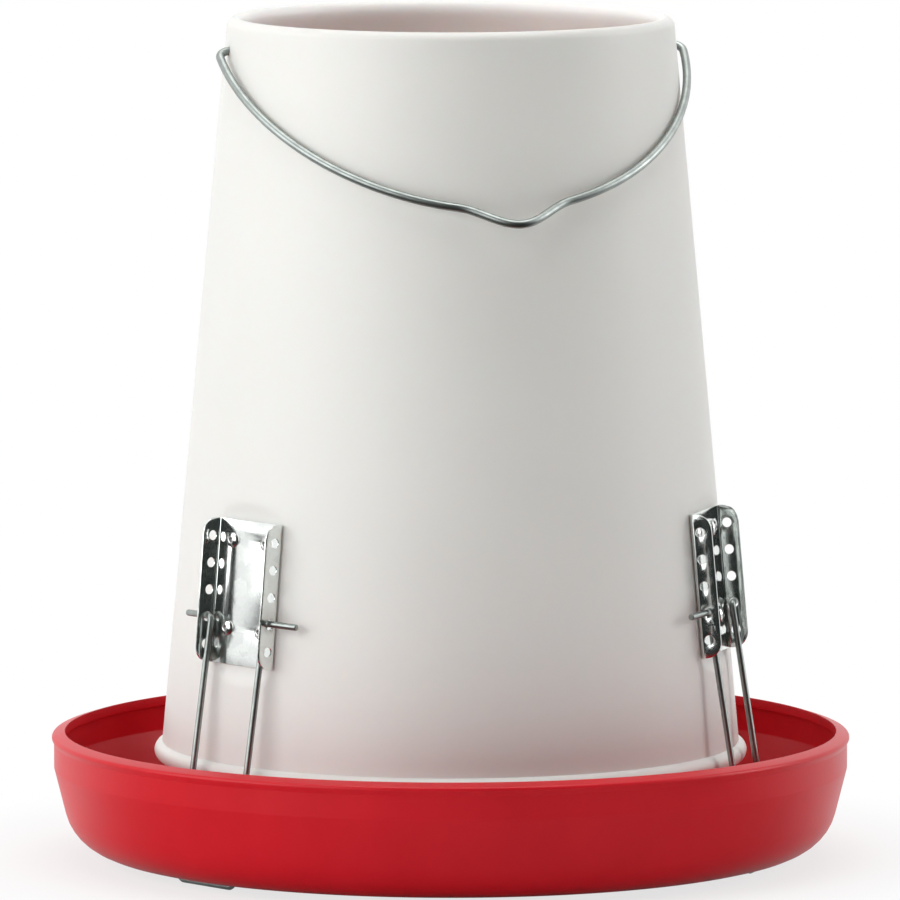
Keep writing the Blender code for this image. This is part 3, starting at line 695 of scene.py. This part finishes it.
def rivet_profile(s):
    """A set blind rivet's section, from the sheet's face up and from the wall's inner side down.

    It runs over the broken pin, the hollow head, the shank, and the bulb inside the wall.
    """
    under = 2 * GAP + s.bracket.sheet
    top = under + RIVET_HEIGHT
    blind = -s.hopper.wall - GAP
    tip = blind - RIVET_BULB_LENGTH
    corners = [
        *((r, under + up) for r, up in RIVET_PIN),
        (RIVET_BORE, top - RIVET_BORE_EDGE),
        (RIVET_SHANK - RIVET_CROWN, top),
        (RIVET_HEAD - RIVET_DOME[0], under + RIVET_DOME[1]),
        (RIVET_HEAD, under),
        (RIVET_SHANK, under),
        (RIVET_SHANK, blind),
        *((RIVET_BULB, blind - down) for down in RIVET_BULB_RUN),
        (RIVET_SHANK, tip),
        (0, tip),
    ]
    return rounded(corners, RIVET_HEAD_TURNS + RIVET_SHANK_TURNS)


def bend_columns(s):
    """Where the bend lines lie across the flat sheet, measured from its middle."""
    start = s.bracket.width / 2 - SHEET_BEND
    length = UPRIGHT * (SHEET_BEND - s.bracket.sheet / 2)
    return start + np.linspace(0, length, BEND_STEPS + 1)


def blank_loops(s, inset):
    """Loops (u, v) of the flat sheet, drawn into the metal by inset: its outline, then its holes.

    The outline is a rectangle with round corners, with a point at each end of each bend line, and
    a hole is centre + radius·(cos a, sin a).
    """
    bracket = s.bracket
    bends = bend_columns(s)
    half = bends[-1] + bracket.flange + bracket.sheet - SHEET_BEND
    low = -bracket.height
    turn = bracket.corner - inset
    bends = np.concatenate([-bends[::-1], bends])
    inner = half - bracket.corner
    outline = np.concatenate(
        [
            np.stack([bends[::-1], np.full(len(bends), -inset)], axis=-1),
            arc((-inner, -bracket.corner), turn, UPRIGHT, math.pi, ARC_POINTS),
            arc((-inner, low + bracket.corner), turn, math.pi, 3 * UPRIGHT, ARC_POINTS),
            np.stack([bends, np.full(len(bends), low + inset)], axis=-1),
            arc((inner, low + bracket.corner), turn, -UPRIGHT, 0, ARC_POINTS),
            arc((inner, -bracket.corner), turn, 0, UPRIGHT, ARC_POINTS),
        ]
    )
    across = bends[-1] + HOLE_FROM_PLATE + bracket.sheet - SHEET_BEND
    wire_hole = s.wire.hoop + HOLE_CLEARANCE + inset
    rivet_hole = RIVET_SHANK + RIVET_CLEARANCE + inset
    holes = [
        ((side * across, -hole_down(s, i)), wire_hole) for i in range(HOLE_COUNT) for side in (-1, 1)
    ]
    holes += [((place.x, place.z), rivet_hole) for place in rivet_places(s).values()]
    full = 2 * math.pi * (1 - 1 / HOLE_POINTS)
    return [outline, *(arc(centre, radius, 0, full, HOLE_POINTS) for centre, radius in holes)]


def edge_levels(s):
    """The sheet's rounded edge: how far each level is drawn in, and its place in the thickness."""
    angle = np.linspace(0, UPRIGHT, EDGE_STEPS + 1)
    inset = SHEET_EDGE * (1 - np.sin(angle))
    height = s.bracket.sheet / 2 - SHEET_EDGE * (1 - np.cos(angle))
    return np.concatenate([inset, inset[::-1]]), np.concatenate([height, -height[::-1]])


def face_triangles(s, loops):
    """Triangles that fill the flat sheet round its holes, split at the bend lines.

    They are found in millimetres, and the ones whose middle lies in a hole are left out.
    """
    sizes = [len(loop) for loop in loops]
    first = np.cumsum([0, *sizes[:-1]])
    edges = [(f + i, f + (i + 1) % n) for f, n in zip(first, sizes) for i in range(n)]
    count = 2 * (BEND_STEPS + 1)
    bottom = count + 2 * ARC_POINTS
    edges += [(i, bottom + count - 1 - i) for i in range(count)]
    points = np.concatenate(loops) * MILLIMETRES
    found = delaunay_2d_cdt([Vector(p) for p in points], edges, [], 0, FILL_TOLERANCE)
    triangles = np.array(found[2])
    middle = points[triangles].mean(axis=1)
    centres = np.array([loop.mean(axis=0) for loop in loops[1:]]) * MILLIMETRES
    reach = np.array([np.ptp(loop[:, 0]) / 2 for loop in loops[1:]]) * MILLIMETRES
    away = np.linalg.norm(middle[:, None] - centres, axis=-1)
    return triangles[(away > reach).all(axis=1)]


def bent(s, flat):
    """Bends the flat sheet (u, v, w) into a channel with its plate on Y = -GAP.

    Past the first bend line a point turns about the bend's centre by (u - start) / (middle radius),
    and past the last one it runs straight out along -Y.
    """
    start = s.bracket.width / 2 - SHEET_BEND
    middle = SHEET_BEND - s.bracket.sheet / 2
    u, v, w = np.moveaxis(flat, -1, 0)
    past = np.maximum(np.abs(u) - start, 0)
    turn = np.minimum(past / middle, UPRIGHT)
    straight = past - turn * middle
    x = np.sign(u) * (np.minimum(np.abs(u), start) + (middle + w) * np.sin(turn))
    y = -GAP - SHEET_BEND + (middle + w) * np.cos(turn) - straight
    return np.stack([x, y, v], axis=-1)


def bracket_shape(s):
    """Points, faces and smooth flags of a bracket: an edge carried along each loop, and fills."""
    insets, heights = edge_levels(s)
    levels = [blank_loops(s, inset) for inset in insets]
    flat = np.stack([np.concatenate(loops) for loops in levels])
    w = np.broadcast_to(heights[:, None, None], (*flat.shape[:2], 1))
    points = bent(s, np.concatenate([flat, w], axis=-1))
    per_level = flat.shape[1]
    walls = []
    first = 0
    for loop in levels[0]:
        quads = grid_faces(len(levels), len(loop))
        walls.append(quads // len(loop) * per_level + quads % len(loop) + first)
        first += len(loop)
    front = face_triangles(s, levels[0])
    back = front + per_level * (len(levels) - 1)
    bends = bend_columns(s)
    across = np.abs(flat[0, front, 0].mean(axis=1))
    in_bend = (across > bends[0]) & (across < bends[-1])
    smooth = np.concatenate([np.ones(sum(map(len, walls)), bool), in_bend, in_bend])
    faces = [*np.concatenate(walls).tolist(), *front.tolist(), *back.tolist()]
    return points, faces, smooth


def hoop_path(s):
    """A hoop's wire in its own frame: a crosspiece, two legs, and ends that are bent outwards."""
    rise = (hoop_top(s)[1] - hoop_foot_z(s)) / math.cos(hoop_lean(s))
    leg = hoop_half_spread(s)
    elbow = s.bracket.width / 2 + END_RUN
    reach = s.wire.end_reach - END_RUN
    end = (elbow + reach, reach * math.tan(END_SWEEP), rise)
    half = np.array([(leg, 0, 0), (leg, 0, rise), (elbow, 0, rise), end])
    bends = [FOOT_BEND, TOP_BEND, END_BEND]
    return rounded(np.concatenate([half[::-1] * (-1, 1, 1), half]), bends[::-1] + bends)


def bow_depth(s, across):
    """How deep the bow hangs: |x / half width|^p + |y / depth|^p = 1, with a cosine notch added."""
    share = np.minimum(1, np.abs(across) / bail_half_width(s))
    depth = s.wire.bow_depth * (1 - share**BOW_POWER) ** (1 / BOW_POWER)
    away = np.minimum(1, np.abs(across - NOTCH_OFFSET) / NOTCH_HALF_WIDTH)
    return depth + s.wire.notch_depth * (1 + np.cos(math.pi * away)) / 2


def bow_points(s):
    """Points of the bow, hanging along -Y in the bail's own frame, evenly spaced by angle."""
    first = math.asin((ELBOW / s.wire.bow_depth) ** (BOW_POWER / 2))
    angle = np.linspace(first, math.pi - first, BOW_POINTS)
    across = np.sign(-np.cos(angle)) * bail_half_width(s) * np.abs(np.cos(angle)) ** (2 / BOW_POWER)
    return np.stack([across, -bow_depth(s, across), np.zeros(BOW_POINTS)], axis=-1)


def bail_path(s):
    """The bail's wire: a hook inside the hopper, a hinge pin, an elbow and the bow, and back."""
    bow = bow_points(s)
    hook = hopper_radius(s, s.hopper.top) - 2 * RIM_BEAD - s.wire.bail - HOOK_CLEARANCE
    corners = [(hook, -HOOK_LENGTH, 0), (hook, 0, 0), (bail_half_width(s), 0, 0), bow[-1]]
    right = rounded(corners, [HOOK_BEND, ELBOW])[:-1]
    return np.concatenate([right * (-1, 1, 1), bow[1:-1], right[::-1]])


def bail_rest_angle(s):
    """How far below level the bail hangs: the steepest angle at which its bow clears the wall."""
    bow = bow_points(s)
    angle = np.linspace(0, UPRIGHT / 2, REST_STEPS)[:, None]
    out = np.hypot(bow[:, 0], bow[:, 1] * np.cos(angle))
    room = out - hopper_radius(s, bail_hinge_z(s) + bow[:, 1] * np.sin(angle))
    clear = room.min(axis=1) * math.cos(s.hopper.taper) > s.wire.bail + GAP
    return float(angle[clear, 0].max())


def set_inputs(tree, node, inputs):
    """Sets a node's inputs; one that is given a socket is joined to it."""
    for key, value in inputs.items():
        if isinstance(value, bpy.types.NodeSocket):
            tree.links.new(value, node.inputs[key])
        else:
            node.inputs[key].default_value = value


def add(tree, kind, inputs=None, **settings):
    """A new node with its settings and inputs."""
    made = tree.nodes.new("ShaderNode" + kind)
    for name, value in settings.items():
        setattr(made, name, value)
    set_inputs(tree, made, inputs or {})
    return made


def new_material(name):
    """A material with its tree and its object coordinates."""
    material = bpy.data.materials.new(name)
    material.use_nodes = True
    tree = material.node_tree
    return material, tree, add(tree, "TexCoord").outputs["Object"]


def noise(tree, place, scale, detail, roughness, output="Fac"):
    """A cloudy pattern, as a value or as a colour."""
    inputs = {"Vector": place, "Scale": scale, "Detail": detail, "Roughness": roughness}
    return add(tree, "TexNoise", inputs).outputs[output]


def ramped(tree, value, low, high, to_low=0.0, to_high=1.0, kind="LINEAR"):
    """A value carried from one range to another, and held at its ends."""
    inputs = {"Value": value, "From Min": low, "From Max": high, "To Min": to_low, "To Max": to_high}
    return add(tree, "MapRange", inputs, interpolation_type=kind).outputs["Result"]


def mixed(tree, share, first, second):
    """Two colours mixed by a share."""
    return add(tree, "Mix", {0: share, 6: first, 7: second}, data_type="RGBA").outputs[2]


def combined(tree, operation, first, second):
    """Two values put together by an operation."""
    return add(tree, "Math", {0: first, 1: second}, operation=operation).outputs[0]


def vector_math(tree, operation, first, second=(0, 0, 0), output="Vector"):
    """Two vectors put together by an operation."""
    return add(tree, "VectorMath", {0: first, 1: second}, operation=operation).outputs[output]


def shade(rgb, factor):
    """A colour made darker or lighter."""
    return (*(min(1, channel * factor) for channel in rgb), 1)


def toned(tree, value, rgb, low, high, low_shade, high_shade):
    """A colour that goes from one of its shades to another as a value goes from low to high."""
    return mixed(tree, ramped(tree, value, low, high), shade(rgb, low_shade), shade(rgb, high_shade))


def bumped(tree, height, strength, distance, normal=None):
    """A normal bumped by a height, from the surface's own normal or from a given one."""
    inputs = {"Height": height, "Strength": strength, "Distance": distance}
    if normal is not None:
        inputs["Normal"] = normal
    return add(tree, "Bump", inputs).outputs["Normal"]


def red_plastic(tree, place, s):
    """Moulded red plastic: a soft gloss, with faint flow marks and a fine grain."""
    flow = noise(tree, place, *RED_FLOW)
    return {
        "Base Color": toned(tree, flow, s.pan.red, *RED_TONE),
        "Roughness": ramped(tree, flow, *RED_ROUGHNESS),
        "Normal": bumped(tree, noise(tree, place, *RED_GRAIN), *PLASTIC_BUMP),
        "IOR": 1.49,
        "Specular IOR Level": 0.27,
    }


def white_plastic(tree, place, s):
    """Moulded white plastic: satin, slightly cloudy, and thin enough to let some light through.

    The side that faces the hopper's axis is painted a little lighter: painted light for the light
    that the wall lets in.
    """
    cloud = noise(tree, place, *WHITE_CLOUD)
    outwards = vector_math(tree, "NORMALIZE", vector_math(tree, "MULTIPLY", place, (1, 1, 0)))
    normal = add(tree, "NewGeometry").outputs["Normal"]
    facing = vector_math(tree, "DOT_PRODUCT", normal, outwards, "Value")
    outside = toned(tree, cloud, s.hopper.white, *WHITE_TONE)
    return {
        # Painted light: the side that faces the axis is painted lighter, for the light that the wall
        # lets in.
        "Base Color": mixed(tree, ramped(tree, facing, *INSIDE_FACING), outside, INSIDE_PAINTED_LIGHT),
        "Roughness": ramped(tree, cloud, *WHITE_ROUGHNESS),
        "Normal": bumped(tree, noise(tree, place, *WHITE_GRAIN), *PLASTIC_BUMP),
        "IOR": 1.5,
        "Subsurface Weight": 0.45,
        "Subsurface Radius": (1.0, 0.8, 0.65),
        "Subsurface Scale": 0.004,
    }


def galvanised_sheet(tree, place, s):
    """Bright galvanised sheet: faint cells that differ in polish and tilt, and a fine mottle."""
    warp = noise(tree, place, *SPANGLE_WARP, "Color")
    bent_place = vector_math(tree, "ADD", place, vector_math(tree, "MULTIPLY", warp, SPANGLE_SHIFT))
    cells = add(tree, "TexVoronoi", {"Vector": bent_place, "Scale": SPANGLE_SCALE}).outputs["Color"]
    pick = add(tree, "SeparateColor", {"Color": cells}).outputs
    smear = noise(tree, place, *SMEAR)
    zinc = s.bracket.zinc
    base = toned(tree, pick["Red"], zinc, *SPANGLE_TONE)
    polish = ramped(tree, pick["Green"], *SPANGLE_ROUGHNESS)
    centred = vector_math(tree, "SUBTRACT", cells, (0.5, 0.5, 0.5))
    tilt = vector_math(tree, "MULTIPLY", centred, SPANGLE_TILT)
    normal = add(tree, "NewGeometry").outputs["Normal"]
    tilted = vector_math(tree, "NORMALIZE", vector_math(tree, "ADD", normal, tilt))
    return {
        "Base Color": mixed(tree, ramped(tree, smear, *SMEAR_SHARE), base, shade(zinc, SMEAR_SHADE)),
        "Roughness": combined(tree, "ADD", polish, ramped(tree, smear, *SMEAR_ROUGHNESS)),
        "Normal": bumped(tree, smear, *SMEAR_BUMP, tilted),
        "Metallic": 1,
    }


def galvanised_wire(tree, place, s):
    """Galvanised wire: smooth grey zinc with faint dull patches and small lumps."""
    patches = noise(tree, place, *WIRE_PATCHES)
    return {
        "Base Color": toned(tree, patches, s.wire.zinc, *WIRE_TONE),
        "Roughness": ramped(tree, patches, *WIRE_ROUGHNESS),
        "Normal": bumped(tree, noise(tree, place, *WIRE_LUMPS), *WIRE_BUMP),
        "Metallic": 1,
    }


def rivet_metal(tree, place, s):
    """Plain blind rivets: pale soft metal with fine handling marks."""
    marks = noise(tree, place, *RIVET_MARKS)
    return {
        "Base Color": toned(tree, marks, s.bracket.rivet, *RIVET_TONE),
        "Roughness": ramped(tree, marks, *RIVET_ROUGHNESS),
        "Normal": bumped(tree, marks, *RIVET_BUMP),
        "Metallic": 1,
    }


FINISHES = {
    "red_plastic": ("moulded_red", red_plastic),
    "white_plastic": ("satin_white", white_plastic),
    "galvanised_sheet": ("spangled_sheet", galvanised_sheet),
    "galvanised_wire": ("zinc_wire", galvanised_wire),
    "rivet_metal": ("rivet_face", rivet_metal),
}


def finished(s, piece, slot, body, node):
    """Gives a piece its finish, hangs it on the body it rides on, and hides the part it stands for.

    A finish is made once and shared by the pieces that have it.
    """
    name, make = FINISHES[slot]
    material = bpy.data.materials.get(name)
    if material is None:
        material, tree, place = new_material(name)
        set_inputs(tree, tree.nodes["Principled BSDF"], make(tree, place, s))
    piece.data.materials.clear()
    piece.data.materials.append(material)
    piece.data.set_sharp_from_angle(angle=SHARP)
    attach(piece, body)
    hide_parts(node)


def darkness(tree, direction, start, full):
    """How far a direction or a place lies towards the dark side of the room."""
    towards = vector_math(tree, "DOT_PRODUCT", direction, DARK_SIDE, "Value")
    return ramped(tree, towards, start, full, kind="SMOOTHSTEP")


def mirrored_rays(tree, rays):
    """The rays that leave a shiny or a clear surface."""
    return combined(tree, "MAXIMUM", rays["Is Glossy Ray"], rays["Is Transmission Ray"])


def floor_material():
    """A pale floor: matt and shaded by the feeder near it, and plain white further off."""
    material, tree, place = new_material("pale_floor")
    tree.nodes.remove(tree.nodes["Principled BSDF"])
    rays = add(tree, "LightPath").outputs
    away = vector_math(tree, "LENGTH", place, output="Value")
    fade = ramped(tree, away, *FLOOR_FADE, "SMOOTHSTEP")
    white = combined(tree, "MULTIPLY", fade, rays["Is Camera Ray"])
    mirrored = mirrored_rays(tree, rays)
    dark = combined(tree, "MULTIPLY", darkness(tree, place, *DARK_ON_FLOOR), mirrored)
    matt = add(tree, "BsdfDiffuse", {"Color": FLOOR_GREY}).outputs[0]
    plain = add(tree, "Emission", {"Color": mixed(tree, dark, WHITE, DARK_ROOM)}).outputs[0]
    share = combined(tree, "MAXIMUM", white, mirrored)
    out = add(tree, "MixShader", {0: share, 1: matt, 2: plain}).outputs[0]
    tree.links.new(out, tree.nodes["Material Output"].inputs["Surface"])
    return material


def make_world(fill):
    """White behind the feeder and in its metal, and soft light on the rest.

    Metal sees the dark side of the room too, where no light stands. The soft light is even all
    round, and stronger from the white backdrop behind the feeder.
    """
    world = bpy.data.worlds.new("studio")
    bpy.context.scene.world = world
    world.use_nodes = True
    tree = world.node_tree
    tree.nodes.clear()
    rays = add(tree, "LightPath").outputs
    direction = add(tree, "TexCoord").outputs["Generated"]
    room = mixed(tree, darkness(tree, direction, *DARK_IN_ROOM), WHITE, DARK_ROOM)
    behind = combined(tree, "SUBTRACT", 1.0, darkness(tree, direction, *BACKDROP_EDGE))
    glow = ramped(tree, behind, 0, 1, fill, BACKDROP_GLOW)
    even = add(tree, "Background", {"Color": WHITE, "Strength": glow}).outputs[0]
    mirrored = add(tree, "Background", {"Color": room}).outputs[0]
    white = add(tree, "Background", {"Color": WHITE}).outputs[0]
    seen = add(tree, "MixShader", {0: mirrored_rays(tree, rays), 1: even, 2: mirrored}).outputs[0]
    seen = add(tree, "MixShader", {0: rays["Is Camera Ray"], 1: seen, 2: white}).outputs[0]
    add(tree, "OutputWorld", {"Surface": seen})


def area_light(name, watts):
    """A soft light aimed at the middle of the feeder."""
    azimuth, height, distance, spread = LIGHTS[name]
    light = bpy.data.lights.new(name, "AREA")
    light.shape = "RECTANGLE"
    light.size, light.size_y = spread
    light.energy = watts
    made = linked(name, light)
    made.location = radial(math.radians(azimuth), distance, height)
    made.rotation_euler = (LIGHT_AIM - made.location).to_track_quat("-Z", "Y").to_euler()


def make_camera():
    """The camera, from the place that was fitted to the photograph."""
    camera = bpy.data.cameras.new("camera")
    camera.lens = CAMERA_LENS
    camera.sensor_width = CAMERA_SENSOR
    camera.shift_x = CAMERA_SHIFT
    camera.clip_start, camera.clip_end = CAMERA_RANGE
    made = linked("camera", camera)
    made.location = CAMERA_PLACE
    made.rotation_euler = CAMERA_TURN
    bpy.context.scene.camera = made


class FEEDER_OT_stage(Operator):
    """Makes the floor, the lights and the camera"""

    bl_idname = "feeder.stage"
    bl_label = "Stage"

    def execute(self, context):
        s = context.scene.feeder.stage
        profile = np.array([(radius, FLOOR_Z) for radius in FLOOR_RADII])
        floor = new_piece("floor", turned(profile, all_round(FLOOR_COLUMNS)))
        if floor.data.polygons[0].normal.z < 0:
            floor.data.flip_normals()
        floor.data.materials.append(floor_material())
        make_world(s.fill)
        for name in LIGHTS:
            area_light(name, getattr(s, name))
        make_camera()
        context.scene.view_settings.view_transform = "Standard"
        return {"FINISHED"}


class FEEDER_OT_pan(Operator):
    """Makes the pan with its feed cone, its rim and the holes that the hoops stand in"""

    bl_idname = "feeder.pan"
    bl_label = "Pan"

    def execute(self, context):
        s = context.scene.feeder
        pan = new_piece("pan_moulding", turned(pan_profile(s), all_round(PAN_COLUMNS)))
        leg = hoop_half_spread(s)
        frames = [hoop_frame(s, azimuth) for azimuth in AZIMUTHS.values()]
        feet = [(at, side * leg) for at in frames for side in (-1, 1)]
        starts, ends = ([at @ Vector((x, 0, z)) for at, x in feet] for z in LEG_DRILL)
        drilled(pan, starts, ends, s.wire.hoop + LEG_HOLE_CLEARANCE)
        finished(s, pan, "red_plastic", "pan", "pan")
        return {"FINISHED"}


class FEEDER_OT_hopper(Operator):
    """Makes the hopper with its curled rim, its foot bead and the flats for the brackets"""

    bl_idname = "feeder.hopper"
    bl_label = "Hopper"

    def execute(self, context):
        s = context.scene.feeder
        points = hopper_points(s)
        faces = grid_faces(*points.shape[:2], close_rows=True)
        hopper = new_piece("hopper_moulding", points, faces)
        z = bail_hinge_z(s)
        drilled(hopper, [(-PIN_DRILL, 0, z)], [(PIN_DRILL, 0, z)], s.wire.bail + PIN_CLEARANCE)
        frames = [bracket_frame(s, azimuth) for azimuth in AZIMUTHS.values()]
        places = [(at, place) for at in frames for place in rivet_places(s).values()]
        starts, ends = (
            [at @ (place + Vector((0, y, 0))) for at, place in places] for y in RIVET_DRILL
        )
        drilled(hopper, starts, ends, RIVET_SHANK + RIVET_CLEARANCE)
        finished(s, hopper, "white_plastic", "hopper", "hopper")
        return {"FINISHED"}


class FEEDER_OT_brackets(Operator):
    """Makes the three punched and bent brackets"""

    bl_idname = "feeder.brackets"
    bl_label = "Brackets"

    def execute(self, context):
        s = context.scene.feeder
        points, faces, smooth = bracket_shape(s)
        for side, azimuth in AZIMUTHS.items():
            node = side + "_bracket"
            at = placed(points, bracket_frame(s, azimuth))
            bracket = new_piece(node + "_sheet", at, faces, smooth)
            finished(s, bracket, "galvanised_sheet", "hopper", node)
        return {"FINISHED"}


class FEEDER_OT_rivets(Operator):
    """Makes the twelve blind rivets that hold the brackets"""

    bl_idname = "feeder.rivets"
    bl_label = "Rivets"

    def execute(self, context):
        s = context.scene.feeder
        points = turned(rivet_profile(s), all_round(RIVET_COLUMNS))
        across = Matrix.Rotation(UPRIGHT, 4, "X")
        for side, azimuth in AZIMUTHS.items():
            for place_name, place in rivet_places(s).items():
                node = f"{side}_rivet_{place_name}"
                at = bracket_frame(s, azimuth) @ Matrix.Translation(place) @ across
                rivet = new_piece(node + "_set", placed(points, at))
                finished(s, rivet, "rivet_metal", "hopper", node)
        return {"FINISHED"}


class FEEDER_OT_hoops(Operator):
    """Makes the three spring hoops that carry the hopper"""

    bl_idname = "feeder.hoops"
    bl_label = "Hoops"

    def execute(self, context):
        s = context.scene.feeder
        points = tube(hoop_path(s), s.wire.hoop, np.array([0, 1.0, 0]))
        for side, azimuth in AZIMUTHS.items():
            node = side + "_hoop"
            hoop = new_piece(node + "_wire", placed(points, hoop_frame(s, azimuth)))
            finished(s, hoop, "galvanised_wire", node, node)
        return {"FINISHED"}


class FEEDER_OT_bail(Operator):
    """Makes the wire bail with its hook notch"""

    bl_idname = "feeder.bail"
    bl_label = "Bail"

    def execute(self, context):
        s = context.scene.feeder
        points = tube(bail_path(s), s.wire.bail, np.array([0, 0, 1.0]))
        turn = Euler((bail_rest_angle(s), 0, 0))
        at = Matrix.LocRotScale(Vector((0, 0, bail_hinge_z(s))), turn, None)
        bail = new_piece("bail_wire", placed(points, at))
        finished(s, bail, "galvanised_wire", "bail", "bail")
        return {"FINISHED"}


class FEEDER_PT_sidebar(Panel):
    """Lists the feeder's pieces and its sizes"""

    bl_label = "Poultry Feeder"
    bl_idname = "FEEDER_PT_sidebar"
    bl_space_type = "VIEW_3D"
    bl_region_type = "UI"
    bl_category = "Feeder"

    def draw(self, context):
        for group, operators in STEPS.items():
            box = self.layout.box()
            for operator in operators:
                box.operator(operator.bl_idname)
            settings = getattr(context.scene.feeder, group)
            for name in settings.__annotations__:
                box.prop(settings, name)


STEPS = {
    "stage": [FEEDER_OT_stage],
    "pan": [FEEDER_OT_pan],
    "hopper": [FEEDER_OT_hopper],
    "bracket": [FEEDER_OT_brackets, FEEDER_OT_rivets],
    "wire": [FEEDER_OT_hoops, FEEDER_OT_bail],
}
CLASSES = [
    PanSettings,
    HopperSettings,
    BracketSettings,
    WireSettings,
    StageSettings,
    FeederSettings,
    *(operator for operators in STEPS.values() for operator in operators),
    FEEDER_PT_sidebar,
]


def register():
    for each in CLASSES:
        bpy.utils.register_class(each)
    bpy.types.Scene.feeder = PointerProperty(type=FeederSettings)


def unregister():
    del bpy.types.Scene.feeder
    for each in reversed(CLASSES):
        bpy.utils.unregister_class(each)


def main():
    register()
    bpy.ops.feeder.stage()
    bpy.ops.feeder.pan()
    bpy.ops.feeder.hopper()
    bpy.ops.feeder.brackets()
    bpy.ops.feeder.rivets()
    bpy.ops.feeder.hoops()
    bpy.ops.feeder.bail()


if __name__ == "__main__":
    main()
